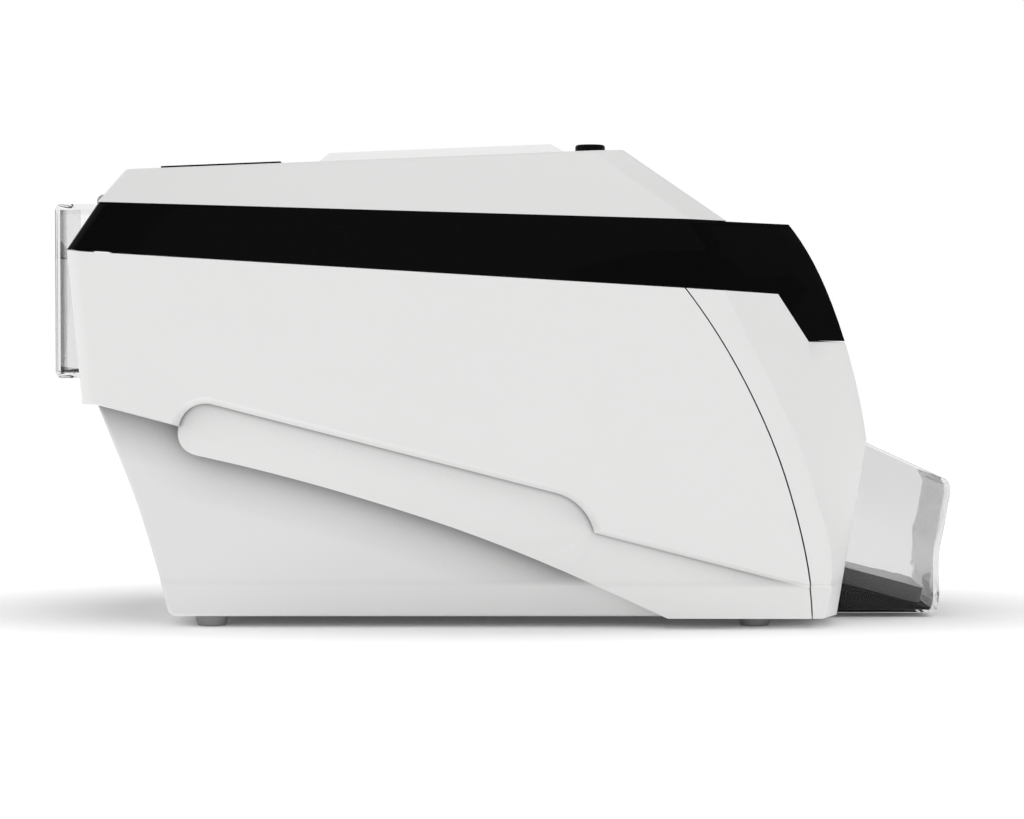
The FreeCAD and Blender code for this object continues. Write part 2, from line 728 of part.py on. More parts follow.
def hinge_spans():
    arm_one = (hinge_y, hinge_y + hinge_arm)
    barrel = (arm_one[1] + fit_gap, arm_one[1] + fit_gap + hinge_barrel)
    arm_two = (barrel[1] + fit_gap, barrel[1] + fit_gap + hinge_arm)
    return arm_one, barrel, arm_two


def cover_hinge_arm(span):
    centre = hinge_centre()
    slope = unit(at(cover_rear_top) - at(band_top_rear))
    sunk = inward(slope)
    barrel = rod(centre.x, centre.z, span[0], span[1], hinge_barrel_radius)
    reach = centre + slope * hinge_barrel_radius * 2
    sink_in = sunk * (hinge_out + cover_wall / 2)
    web = prism([centre, reach, reach + sink_in, centre + slope * hinge_barrel_radius + sink_in],
                span[0], span[1])
    hole = rod(centre.x, centre.z, span[0], span[1], hinge_pin_radius + running_gap)
    return barrel.fuse(web).cut(hole)


def hinge_bracket():
    centre, (down, outward) = hinge_centre(), hinge_directions()
    span = hinge_spans()[1]
    barrel = rod(centre.x, centre.z, span[0], span[1], hinge_barrel_radius)
    foot = centre - outward * hinge_out
    low = foot + down * hinge_leaf_depth
    leaf = outward * hinge_leaf
    points = [centre, centre + down * hinge_barrel_radius, foot + down * hinge_barrel_radius + leaf,
              low + leaf, low, foot + down * hinge_up]
    return barrel.fuse(prism(points, span[0], span[1]))


def latch_lug():
    top = at(cover_front_top).z
    low = latch_z - latch_radius - latch_lug_wall
    reach = latch_radius + latch_lug_wall
    lug = block(latch_x - reach, latch_x + reach, latch_lug_y, latch_lug_y + latch_lug_width, low, top)
    hole = rod(latch_x, latch_z, 0, half_width, latch_radius + running_gap)
    return lug.common(cover_solid(cover_wall / 2, -cover_wall / 2, 0)).cut(hole)


def top_cover():
    outer = cover_form().fuse(platform(0))
    hollow = cover_solid(cover_wall, -cover_wall, cover_wall).fuse(platform(cover_wall))
    shell = outer.cut(hollow)
    rear, front = x_of(window_rear_px), x_of(window_front_px)
    seat = top_strip(rear - fit_gap, front + fit_gap, -window_seat, overrun, window_half + fit_gap)
    view = top_strip(rear + window_ledge, front - window_ledge, -overrun, overrun, window_half - window_ledge)
    button_hole = upright(button_x, 0, latch_z, overall_height, button_radius + fit_gap)
    shell = cut(shell, [seat, view, button_hole])
    arms = []
    arm_one, _, arm_two = hinge_spans()
    for span in (arm_one, arm_two):
        arms += both_sides(cover_hinge_arm(span))
    centre = hinge_centre()
    barrel_room = rod(centre.x, centre.z, arm_one[0], arm_two[1], hinge_barrel_radius + fit_gap / 3)
    shell = cut(shell, both_sides(barrel_room))
    return fuse([shell] + arms + both_sides(latch_lug()))


def cover_window():
    rear, front = x_of(window_rear_px), x_of(window_front_px)
    return top_strip(rear, front, -window_seat, window_proud, window_half)


def release_button():
    under = cover_top_z(button_x) - cover_wall - fit_gap * 2
    bottom = cover_top_z(button_x) - button_depth
    cap = upright(button_x, 0, under, overall_height, button_radius)
    rim = [e for e in cap.Edges if e.BoundBox.ZMin > overall_height - seam_gap]
    cap = cap.makeFillet(button_round, rim)
    flange = upright(button_x, 0, under - button_flange, under, button_flange_radius)
    stem = upright(button_x, 0, bottom, under, button_stem_radius)
    return fuse([cap, flange, stem])


def latch_bar():
    bar = rod(latch_x, latch_z, -latch_half, latch_half, latch_radius)
    pad_z = cover_top_z(button_x) - button_depth - fit_gap
    thick = latch_arm_thickness
    arm = prism([spot(latch_x + thick / 2, latch_z), spot(latch_pad_front, pad_z - thick / 3),
                 spot(latch_pad_front - thick / 2, pad_z), spot(latch_pad_rear, pad_z),
                 spot(latch_pad_rear, pad_z - thick), spot(latch_pad_front - thick, pad_z - latch_arm_neck),
                 spot(latch_x - thick / 2, latch_z - thick / 3)], -latch_arm_half, latch_arm_half)
    low = plate_top - latch_below_deck
    half_shank = latch_shank / 2
    hook_points = [spot(latch_x - half_shank, latch_z), spot(latch_x - half_shank, low + latch_nose),
                   spot(latch_x - half_shank - latch_nose, low + latch_nose), spot(latch_x - half_shank, low),
                   spot(latch_x + half_shank, low), spot(latch_x + half_shank, latch_z)]
    hook = prism(hook_points, latch_hook_y - latch_hook_width / 2, latch_hook_y + latch_hook_width / 2)
    return fuse([bar, arm] + both_sides(hook))


def rear_hopper_cover():
    x_low, z_low, z_high = x_of(rear_px), z_of(hopper_bottom_py), z_of(hopper_top_py)
    outer = block(x_low, hopper_front_x, -hopper_half, hopper_half, z_low, z_high)
    back = [e for e in outer.Edges if e.BoundBox.XMax < x_low + seam_gap]
    outer = outer.makeFillet(hopper_round, back)
    half = hopper_half - clear_wall
    inner = block(x_low + clear_wall, hopper_front_x + overrun, -half, half, z_low + clear_wall,
                  z_high - clear_wall)
    roof_cut = block(hopper_roof_front_x, hopper_front_x + overrun, -half_width, half_width,
                     z_of(band_top_rear[1]) - mouth_gap, overall_height)
    floor_cut = block(hopper_floor_front_x, hopper_front_x + overrun, -half, half, 0, z_high - clear_wall)
    pins = rod(hopper_pivot_x, hopper_pivot_z, hopper_half - clear_wall / 2,
               hopper_half + hopper_lug_gap + hopper_lug, hopper_pin_radius)
    return fuse([cut(outer, [inner, roof_cut, floor_cut])] + both_sides(pins))


# Output hopper and cards


def hopper_outline(inset):
    front = [at(p) + Vector(-inset, 0, 0) for p in hopper_profile]
    return front, at(hopper_sole_front), at(hopper_sole_rear)


def output_hopper():
    front, sole_front, sole_rear = hopper_outline(0)
    mouth, knee = at(hopper_mouth), spot(hopper_knee_x, hopper_knee_z)
    back_low, back_high = spot(hopper_back_x, hopper_back_low), spot(hopper_back_x, hopper_back_high)
    edges = [curve(front)] + chain([front[-1], at(hopper_toe), sole_front, sole_rear, back_low, back_high,
                                    knee, mouth, front[0]])
    outer = prism_of_edges(edges, -tray_half, tray_half)
    inner_front = [p + Vector(-clear_wall, 0, 0) for p in front]
    low = sole_front.z + sole_wall
    low_front = spot(inner_front[-1].x - sole_wall, low)
    behind = Vector(-clear_wall, 0, sole_wall)
    above = spot(inner_front[0].x, z_of(front_crest[1]) + overrun)
    edges = [curve(inner_front)] + chain([inner_front[-1], low_front, spot(sole_rear.x, low),
                                          back_low + behind, spot(back_low.x - clear_wall, above.z), above,
                                          inner_front[0]])
    half = tray_half - clear_wall
    return outer.cut(prism_of_edges(edges, -half, half))


def stack_line(x, drop):
    # Height of the stack's top face at x, less a depth square to it
    return stack_front_z + (stack_front_x - x) * math.tan(tray_slope) - drop / math.cos(tray_slope)


def stack_depth():
    return card_count * card_thickness + (card_count - 1) * card_gap


def hopper_floor():
    # Dark wedge under the cards, hollow beneath
    front, sole_front, sole_rear = hopper_outline(clear_wall)
    depth = stack_depth() + card_gap
    x_front = front[-1].x - sole_wall - fit_gap
    x_rear = hopper_back_x + fit_gap
    low = sole_front.z + sole_wall
    rear_low = hopper_back_low + sole_wall + fit_gap
    half = tray_half - clear_wall - fit_gap
    flat_z = low + floor_plate
    x_flat = stack_front_x + (stack_front_z - depth / math.cos(tray_slope) - flat_z) / math.tan(tray_slope)
    top_rear = spot(x_rear, stack_line(x_rear, depth))
    tip, toe = spot(x_flat, flat_z), [spot(x_front, flat_z)]
    if x_flat > x_front:
        tip, toe = spot(x_front, stack_line(x_front, depth)), []
    outer = prism([tip] + toe + [spot(x_front, low), spot(sole_rear.x, low), spot(x_rear, rear_low), top_rear],
                  -half, half)
    lowered = Vector(0, 0, -floor_plate)
    inner = prism([tip + lowered, spot(tip.x, 0), spot(x_rear, 0), top_rear + lowered],
                  -half + floor_plate, half - floor_plate)
    return outer.cut(inner)


def output_cards():
    cards = []
    for i in range(card_count):
        depth = i * (card_thickness + card_gap) + card_thickness
        card = Part.makeBox(card_length, card_width, card_thickness,
                            Vector(-card_length, -card_width / 2, -depth))
        upright_edges = [e for e in card.Edges if abs(e.Vertexes[0].Z - e.Vertexes[1].Z) > card_gap]
        card = card.makeFillet(card_corner, upright_edges)
        card.rotate(Vector(0, 0, 0), Vector(0, 1, 0), math.degrees(tray_slope))
        card.translate(spot(stack_front_x, stack_front_z))
        cards.append(card)
    return Part.makeCompound(cards)


# Frame


def roller_centre(s):
    return path_point(s, nip_gap + roller_radius)


def pinch_centre(s):
    return path_point(s, -nip_gap - pinch_radius)


def train():
    # Centres of the gears: each neighbour lies one centre distance along
    small, big = gear_module * roller_teeth / 2, gear_module * big_teeth / 2
    places = {"rear": roller_centre(rear_drive_s), "platen": roller_centre(platen_s),
              "exit": roller_centre(exit_s)}
    places["rear_idler"] = roller_centre(platen_s - 2 * small)
    places["front_idler"] = roller_centre(platen_s + small + big)
    hub_x, hub_z = places["front_idler"]
    far = big + gear_module * takeup_teeth / 2
    highest = plate_top - takeup_top_gap - gear_module * takeup_teeth / 2 - gear_addendum
    rise = min(highest - hub_z, far * takeup_steepest)
    places["takeup"] = (hub_x + math.sqrt(far ** 2 - rise ** 2), hub_z + rise)
    near = big + gear_module * pinion_teeth / 2
    places["pinion"] = (hub_x + near * math.cos(pinion_angle), hub_z + near * math.sin(pinion_angle))
    return places


centres = train()
plate_outer_half = plate_inner_half + plate_thickness
gear_near, gear_far = plate_outer_half + gear_gap, plate_outer_half + gear_gap + gear_width
floor_top = base_floor_z() + base_floor


def shaft_holes():
    hole = shaft_radius + running_gap
    holes = [(pick_x, tray_top - pick_radius, hole)]
    holes += [(centres[name][0], centres[name][1], hole) for name in ("rear", "platen", "exit")]
    holes += [pinch_centre(s) + (pinch_shaft_radius + running_gap,) for s in (rear_drive_s, exit_s)]
    return holes


def chassis_plate(is_right):
    y_low, y_high = plate_inner_half, plate_outer_half
    outline = [spot(plate_low_rear, floor_top), spot(plate_low_rear, plate_step_low),
               spot(plate_rear, plate_step_high), spot(plate_rear, plate_top),
               spot(plate_front - plate_nose, plate_top), spot(plate_front, plate_top - plate_nose * 3),
               spot(plate_front, floor_top)]
    plate = prism(outline, y_low, y_high)
    foot = block(plate_low_rear, plate_front, y_low, y_high + flange_width,
                 floor_top, floor_top + plate_thickness)
    top = block(plate_rear, top_flange_front, y_low, y_high + top_flange_width,
                plate_top - plate_thickness, plate_top)
    pieces = [plate, foot, top]
    pin = core_bore - running_gap
    pieces.append(rod(supply_x, supply_z, spool_half - core_bore, y_high, pin))
    tools = [rod(x, z, 0, half_width, r) for x, z, r in shaft_holes()]
    tools += [block(x_low, x_high, y_low - seam_gap, y_high + seam_gap, z_low, z_high)
              for x_low, x_high, z_low, z_high in plate_windows]
    tools += [upright(x, screw_y(), floor_top, floor_top + plate_thickness, screw_radius + fit_gap / 2)
              for x in screw_places_x]
    takeup_x, takeup_z = centres["takeup"]
    if is_right:
        for name in ("rear_idler", "front_idler"):
            x, z = centres[name]
            pieces.append(rod(x, z, y_low, gear_far, stub_radius))
        tools.append(rod(takeup_x, takeup_z, 0, half_width, shaft_radius + running_gap))
        pinion_x, pinion_z = centres["pinion"]
        tools.append(rod(pinion_x, pinion_z, 0, half_width, motor_shaft_radius + fit_gap))
    else:
        pieces.append(rod(takeup_x, takeup_z, spool_half - core_bore, y_high, pin))
    plate = cut(fuse(pieces), tools)
    return plate.mirror(Vector(0, 0, 0), Vector(0, 1, 0)) if is_right else plate


def cross_bars():
    return Part.makeCompound([rod(x, z, -plate_inner_half, plate_inner_half, bar_radius)
                              for x, z in bar_places])


def inner_deck():
    deck = block(deck_rear, deck_front, -half_width, half_width, plate_top, plate_top + deck_thickness)
    deck = deck.common(inner_form)
    opening = block(deck_rear - overrun, deck_opening_front, -deck_opening_half, deck_opening_half,
                    0, overall_height)
    slots = both_sides(block(latch_x - latch_slot_behind, latch_x + latch_slot_ahead,
                             latch_hook_y - latch_hook_width, latch_hook_y + latch_hook_width,
                             0, overall_height))
    return cut(deck, [opening] + slots)


def feeder_frame():
    half = plate_inner_half - fit_gap / 2
    tray = block(feeder_rear, feeder_front, -half, half, tray_top - tray_thickness, tray_top)
    lip_half = guide_half + guide_wall
    lip_top = z_of(hopper_bottom_py) + clear_wall + fit_gap
    lip = prism([spot(tray_rear, lip_top), spot(feeder_rear, tray_top - tray_thickness),
                 spot(feeder_rear, tray_top), spot(tray_rear + overrun / 2, tray_top),
                 spot(tray_rear, lip_top + tray_thickness / 2)], -lip_half, lip_half)
    guides = both_sides(block(feeder_rear, feeder_front, guide_half, guide_half + guide_wall,
                              tray_top, guide_top))
    wall = block(feeder_front - guide_wall, feeder_front, -lip_half, lip_half,
                 tray_top + card_slot, guide_top)
    frame = fuse([tray, lip, wall] + guides)
    reach = pick_radius + pick_slot_gap
    slot = block(pick_x - reach, pick_x + reach, pick_inner - pick_slot_gap,
                 pick_inner + pick_width + pick_slot_gap, tray_top - tray_thickness, tray_top)
    return cut(frame, both_sides(slot))


def card_gate():
    x_low = feeder_front + fit_gap
    gate = block(x_low, x_low + gate_thickness, -gate_half, gate_half, tray_top + card_slot, gate_top)
    tab = block(x_low, x_low + gate_half, -gate_half / 2, gate_half / 2, gate_top - gate_thickness, gate_top)
    return fuse([gate, tab])


# Rollers and gears


def gear(centre, teeth, bore, phase):
    # Teeth with straight flanks, thinned by the backlash
    radius = gear_module * teeth / 2
    tip, root = radius + gear_addendum, radius - gear_dedendum
    lean = math.tan(pressure_angle)
    half_pitch = math.pi * gear_module / 4 - gear_backlash
    half_tip = (half_pitch - lean * (tip - radius)) / tip
    half_root = (half_pitch + lean * (radius - root)) / root
    points = []
    for i in range(teeth):
        angle = phase + 2 * math.pi * i / teeth
        for r, turn in ((root, -half_root), (tip, -half_tip), (tip, half_tip), (root, half_root)):
            points.append(spot(centre[0] + r * math.cos(angle + turn),
                               centre[1] + r * math.sin(angle + turn)))
    wheel = prism(points, -gear_far, -gear_near)
    return wheel.cut(rod(centre[0], centre[1], -gear_far, -gear_near, bore))


def mesh_phase(first, first_teeth, first_phase, second, second_teeth):
    # Phase that puts a gap of the second gear opposite a tooth of the first
    angle = math.atan2(second[1] - first[1], second[0] - first[0])
    share = first_teeth * (angle - first_phase) / (2 * math.pi)
    return angle + math.pi - 2 * math.pi / second_teeth * (0.5 - share)


def gear_phases():
    phases = {"platen": 0.0}
    steps = [("platen", roller_teeth, "rear_idler", roller_teeth),
             ("rear_idler", roller_teeth, "rear", roller_teeth),
             ("platen", roller_teeth, "front_idler", big_teeth),
             ("front_idler", big_teeth, "exit", roller_teeth),
             ("front_idler", big_teeth, "takeup", takeup_teeth),
             ("front_idler", big_teeth, "pinion", pinion_teeth)]
    for first, first_teeth, second, second_teeth in steps:
        phases[second] = mesh_phase(centres[first], first_teeth, phases[first], centres[second], second_teeth)
    return phases


phases = gear_phases()
pulley_near = gear_far + gear_gap
pulley_far = pulley_near + belt_width


def roller_shaft(centre, right_end):
    left_end = plate_outer_half + layer_step
    return rod(centre[0], centre[1], -right_end, left_end, shaft_radius)


def tyre(centre, half, radius):
    outer = rod(centre[0], centre[1], -half, half, radius)
    return outer.cut(rod(centre[0], centre[1], -half, half, shaft_radius))


def pinch_roller(s):
    x, z = pinch_centre(s)
    end = plate_outer_half
    return fuse([rod(x, z, -end, end, pinch_shaft_radius), rod(x, z, -guide_half, guide_half, pinch_radius)])


def pick_centre():
    return pick_x, tray_top - pick_radius


def pick_shaft():
    # Shaft with its pulley moulded on
    x, z = pick_centre()
    return fuse([roller_shaft((x, z), pulley_far), rod(x, z, -pulley_far, -pulley_near, pulley_radius)])


def pick_tyres():
    x, z = pick_centre()
    one = rod(x, z, pick_inner, pick_inner + pick_width, pick_radius)
    one = one.cut(rod(x, z, 0, half_width, shaft_radius))
    return Part.makeCompound(both_sides(one))


def drive_pulley():
    x, z = centres["rear"]
    wheel = rod(x, z, -pulley_far, -pulley_near, pulley_radius)
    return wheel.cut(rod(x, z, -pulley_far, -pulley_near, shaft_radius))


def belt_loop(radius):
    (ax, az), (bx, bz) = pick_centre(), centres["rear"]
    along = spot(bx - ax, bz - az)
    length = along.Length
    along.normalize()
    side = Vector(-along.z, 0, along.x)
    a, b = spot(ax, az), spot(bx, bz)
    edges = [Part.Arc(a + side * radius, a - along * radius, a - side * radius).toShape(),
             Part.Arc(b + side * radius, b + along * radius, b - side * radius).toShape()]
    edges += chain([a + side * radius, a + side * radius + along * length])
    edges += chain([a - side * radius, a - side * radius + along * length])
    return prism_of_edges(edges, -pulley_far + belt_gap, -pulley_near - belt_gap)


def feed_belt():
    inner = pulley_radius + belt_gap * 2
    return belt_loop(inner + belt_thickness).cut(belt_loop(inner))


# Ribbon


def supply_spool():
    core = rod(supply_x, supply_z, -spool_half, spool_half, core_radius)
    return core.cut(rod(supply_x, supply_z, -spool_half, spool_half, core_bore))


def film_roll():
    roll = rod(supply_x, supply_z, -film_half, film_half, supply_film_radius)
    return roll.cut(rod(supply_x, supply_z, -film_half, film_half, core_radius))


def takeup_spool():
    x, z = centres["takeup"]
    core = rod(x, z, -spool_half, spool_half, core_radius)
    film = rod(x, z, -film_half, film_half, takeup_film_radius)
    spindle = rod(x, z, -gear_far, 0, shaft_radius)
    end_bore = rod(x, z, spool_half - core_bore_depth, spool_half, core_bore)
    return fuse([core, film, spindle]).cut(end_bore)


def head_point():
    return path_point(platen_s, -head_gap)


def ribbon_web():
    # Film from the supply roll, under the print head, up to the take-up spool
    tip_x, tip_z = head_point()
    takeup_x, takeup_z = centres["takeup"]
    low_z = tip_z - film_thickness * 1.5
    half = head_face / 2 + film_thickness * 3
    supply_side = spot(supply_x + supply_film_radius + film_thickness, supply_z)
    takeup_side = spot(takeup_x - takeup_film_radius - film_thickness * 2, takeup_z)
    lower = [supply_side, spot(tip_x - half, low_z), spot(tip_x + half, low_z), takeup_side]
    along_x = Vector(film_thickness, 0, 0)
    upper = [takeup_side - along_x, spot(tip_x + half - film_thickness, low_z + film_thickness),
             spot(tip_x - half + film_thickness, low_z + film_thickness), supply_side + along_x]
    return prism(lower + upper, -film_half, film_half)


def thermal_head():
    x, z = head_point()
    face, collar, high = head_face / 2, head_collar / 2, z + head_foot_height
    return prism([spot(x - face, z), spot(x + face, z), spot(x + collar, high), spot(x - collar, high)],
                 -head_half, head_half)


def head_heatsink():
    x, z = head_point()
    low, collar = z + head_foot_height, head_collar / 2
    rise, top = low + sink_rise, low + sink_height
    body = prism([spot(x - collar, low), spot(x + collar, low), spot(x + sink_front, low + sink_slope),
                  spot(x + sink_front, top), spot(x - sink_rear, top), spot(x - sink_rear, rise)],
                 -head_half, head_half)
    tools = []
    pitch = sink_fin * 2
    count = int((sink_front + sink_rear) / pitch)
    for i in range(count):
        start = x - sink_rear + sink_fin + pitch * i
        tools.append(block(start, start + sink_fin, -head_half, head_half, top - sink_fin_depth, top))
    body = cut(body, tools)
    pin_end = head_half + bracket_gap + bracket_wall
    pin = rod(x, z + head_pin_rise, -pin_end, pin_end, head_pin_radius)
    return body.fuse(pin)


def head_bracket():
    x, z = head_point()
    rear, front = x - bracket_rear, x + bracket_front
    low = z + head_pin_rise - head_pin_radius * 3
    inner = head_half + bracket_gap
    top_rear, top_front = cover_top_z(rear) - cover_wall - fit_gap, cover_top_z(front) - cover_wall - fit_gap
    arm = prism([spot(rear, low + sink_rise), spot(x - head_pin_radius * 2, low),
                 spot(x + head_pin_radius * 2, low), spot(front, low + sink_rise), spot(front, top_front),
                 spot(rear, top_rear)], inner, inner + bracket_wall)
    slot_half = head_pin_radius + running_gap
    pin_z = z + head_pin_rise
    slot = rod(x, pin_z, 0, half_width, slot_half).fuse(rod(x, pin_z + head_travel, 0, half_width, slot_half))
    slot = slot.fuse(block(x - slot_half, x + slot_half, 0, half_width, pin_z, pin_z + head_travel))
    arm = arm.cut(slot)
    plate = prism([spot(rear, top_rear), spot(front, top_front), spot(front, top_front - bracket_wall),
                   spot(rear, top_rear - bracket_wall)], -inner - bracket_wall, inner + bracket_wall)
    return fuse([plate] + both_sides(arm))


# Motor, board and fan


def main_motor():
    x, z = centres["pinion"]
    can = rod(x, z, -plate_inner_half, -plate_inner_half + motor_length, motor_radius)
    can_end = -plate_inner_half + motor_length
    cap = rod(x, z, can_end, can_end + layer_step, motor_radius / 2)
    inner_end = can_end - layer_step
    return can.fuse(cap).cut(rod(x, z, -plate_inner_half, inner_end, motor_shaft_radius + running_gap))


def motor_pinion():
    # Pinion moulded on the motor's shaft
    x, z = centres["pinion"]
    wheel = gear(centres["pinion"], pinion_teeth, motor_shaft_radius / 2, phases["pinion"])
    shaft_end = -plate_inner_half + motor_length - layer_step * 2
    return wheel.fuse(rod(x, z, -gear_far, shaft_end, motor_shaft_radius))


def main_board():
    y_low = plate_outer_half + board_standoff
    board = block(board_rear, board_front, y_low, y_low + board_thickness, board_low, board_high)
    pieces = [board]
    inset = standoff_radius * 2
    web_x = (plate_windows[0][1] + plate_windows[1][0]) / 2
    standoffs = [(board_rear + inset, board_high - inset), (board_front - inset, board_high - inset),
                 (web_x, board_low + inset)]
    pieces += [rod(x, z, plate_outer_half, y_low, standoff_radius) for x, z in standoffs]
    height = board_high - board_low
    face = y_low + board_thickness
    for rear, front, low, high in chip_shares:
        pieces.append(block(board_rear + height * rear, board_rear + height * front, face,
                            face + board_thickness, board_low + height * low, board_low + height * high))
    for rear, low in capacitor_shares:
        pieces.append(rod(board_rear + height * rear, board_low + height * low, face, face + inset * 2,
                          standoff_radius))
    return fuse(pieces)


def fan_frame():
    half = fan_side / 2
    frame = block(fan_x - half, fan_x + half, fan_y - half, fan_y + half, floor_top, floor_top + fan_depth)
    low, high = floor_top, floor_top + fan_wall
    bore = upright(fan_x, fan_y, floor_top + fan_wall, floor_top + fan_depth, half - fan_wall)
    inlet = upright(fan_x, fan_y, low, high, half - fan_wall)
    hub = upright(fan_x, fan_y, low, high, fan_hub_radius)
    arms = [block(fan_x - half, fan_x + half, fan_y - fan_wall, fan_y + fan_wall, low, high),
            block(fan_x - fan_wall, fan_x + fan_wall, fan_y - half, fan_y + half, low, high)]
    pin = upright(fan_x, fan_y, floor_top, floor_top + fan_depth - fan_wall * 2, fan_wall)
    return fuse([cut(frame, [bore, inlet]), hub, pin] + arms)


def fan_rotor():
    low, high = floor_top + fan_wall + fit_gap, floor_top + fan_depth - fan_wall
    hub = upright(fan_x, fan_y, low, high, fan_hub_radius)
    reach = fan_side / 2 - fan_wall * 2
    mid = (low + high) / 2
    blades = []
    for i in range(fan_blades):
        blade = block(fan_x + fan_hub_radius - fan_wall, fan_x + reach - fan_wall, fan_y - fan_wall / 2,
                      fan_y + fan_wall / 2, low - fan_wall, high + fan_wall)
        blade.rotate(Vector(fan_x, fan_y, mid), Vector(1, 0, 0), fan_blade_lean)
        blade.rotate(Vector(fan_x, fan_y, mid), Vector(0, 0, 1), 360 * i / fan_blades)
        blades.append(blade)
    keep = upright(fan_x, fan_y, low, high, reach)
    rotor = fuse([hub] + blades).common(keep)
    bore = upright(fan_x, fan_y, floor_top, floor_top + fan_depth - fan_wall, fan_wall + running_gap)
    return rotor.cut(bore)


# Rear connectors


def socket_box(y, z, width, height, depth):
    return block(bay_plate_x, bay_plate_x + depth, y - width / 2, y + width / 2,
                 z - height / 2, z + height / 2)


def connector_plate():
    gap = fit_gap / 2
    plate = block(bay_plate_x, bay_plate_x + bay_plate, -bay_half + gap, bay_half - gap,
                  bay_low + gap, bay_high - gap)
    holes = [socket_box(power_y, power_z, power_body + gap, power_body + gap, overrun),
             socket_box(usb_y, power_z, usb_width + gap, usb_height + gap, overrun),
             socket_box(network_y, power_z, network_width + gap, network_height + gap, overrun),
             socket_box(switch_y, switch_z, switch_width - bay_wall + gap, switch_height - bay_wall + gap,
                        overrun)]
    return cut(plate, holes)


def power_socket():
    body = socket_box(power_y, power_z, power_body, power_body, socket_depth)
    mouth, forward = Vector(bay_plate_x, power_y, power_z), Vector(1, 0, 0)
    bore = Part.makeCylinder(power_bore, socket_depth - socket_wall, mouth, forward)
    pin = Part.makeCylinder(power_pin, socket_depth - socket_wall, mouth + forward * socket_wall, forward)
    return fuse([body.cut(bore), pin])


def usb_socket():
    body = socket_box(usb_y, power_z, usb_width, usb_height, socket_depth)
    mouth = socket_box(usb_y, power_z, usb_width - socket_wall * 2, usb_height - socket_wall * 2,
                       socket_depth - socket_wall)
    tongue = socket_box(usb_y, power_z, usb_width / 2, usb_height / 4, socket_depth)
    tongue.translate(Vector(socket_wall, 0, 0))
    return fuse([body.cut(mouth), tongue.common(body)])


def network_socket():
    body = socket_box(network_y, power_z, network_width, network_height, socket_depth)
    mouth = socket_box(network_y, power_z - socket_wall, network_width - socket_wall * 3,
                       network_height - socket_wall * 4, socket_depth - socket_wall)
    return body.cut(mouth)


def power_switch_frame():
    rim = block(bay_plate_x - socket_wall, bay_plate_x,
                switch_y - switch_width / 2, switch_y + switch_width / 2,
                switch_z - switch_height / 2, switch_z + switch_height / 2)
    body = socket_box(switch_y, switch_z, switch_width - bay_wall, switch_height - bay_wall, socket_depth)
    room = block(bay_plate_x - socket_wall, bay_plate_x + socket_depth - socket_wall,
                 switch_y - rocker_width / 2, switch_y + rocker_width / 2,
                 switch_z - rocker_height / 2, switch_z + rocker_height / 2)
    return rim.fuse(body).cut(room)


def power_rocker():
    # Two flat faces that meet in a shallow valley, turning about Z at the valley
    half, gap = rocker_width / 2 - fit_gap, rocker_height / 2 - fit_gap
    face = bay_plate_x - socket_wall
    rise = half * math.tan(rocker_angle)
    back = bay_plate_x + bay_wall
    back_half = half * rocker_back_share
    points = [Vector(face, -half, 0), Vector(face - rise, -half + fit_gap, 0), Vector(face, 0, 0),
              Vector(face + rise / 2, half, 0), Vector(back, back_half, 0), Vector(back, -back_half, 0)]
    wire = ring([p + Vector(0, switch_y, switch_z - gap) for p in points])
    return Part.Face(wire).extrude(Vector(0, 0, 2 * gap))


# Feet and screws


def rubber_feet():
    feet = []
    for x in (foot_rear_x, foot_front_x):
        for y in (-foot_y, foot_y):
            feet.append(Part.makeCone(foot_low_radius, foot_top_radius, base_floor_z(), Vector(x, y, 0)))
    return Part.makeCompound(feet)


def base_screws():
    screws = []
    low = base_floor_z()
    for x in screw_places_x:
        for y in (-screw_y(), screw_y()):
            head = upright(x, y, low + seam_gap / 2, low + screw_head, screw_head_radius)
            shank = upright(x, y, low + screw_head, low + screw_length, screw_radius)
            slots = [block(x - screw_head_radius, x + screw_head_radius,
                           y - screw_slot / 2, y + screw_slot / 2,
                           low, low + screw_slot),
                     block(x - screw_slot / 2, x + screw_slot / 2,
                           y - screw_head_radius, y + screw_head_radius,
                           low, low + screw_slot)]
            screws.append(cut(head.fuse(shank), slots))
    return Part.makeCompound(screws)


def hinge_brackets():
    return Part.makeCompound(both_sides(hinge_bracket()))


def hinge_pins():
    centre = hinge_centre()
    arm_one, _, arm_two = hinge_spans()
    return Part.makeCompound(both_sides(rod(centre.x, centre.z, arm_one[0], arm_two[1], hinge_pin_radius)))


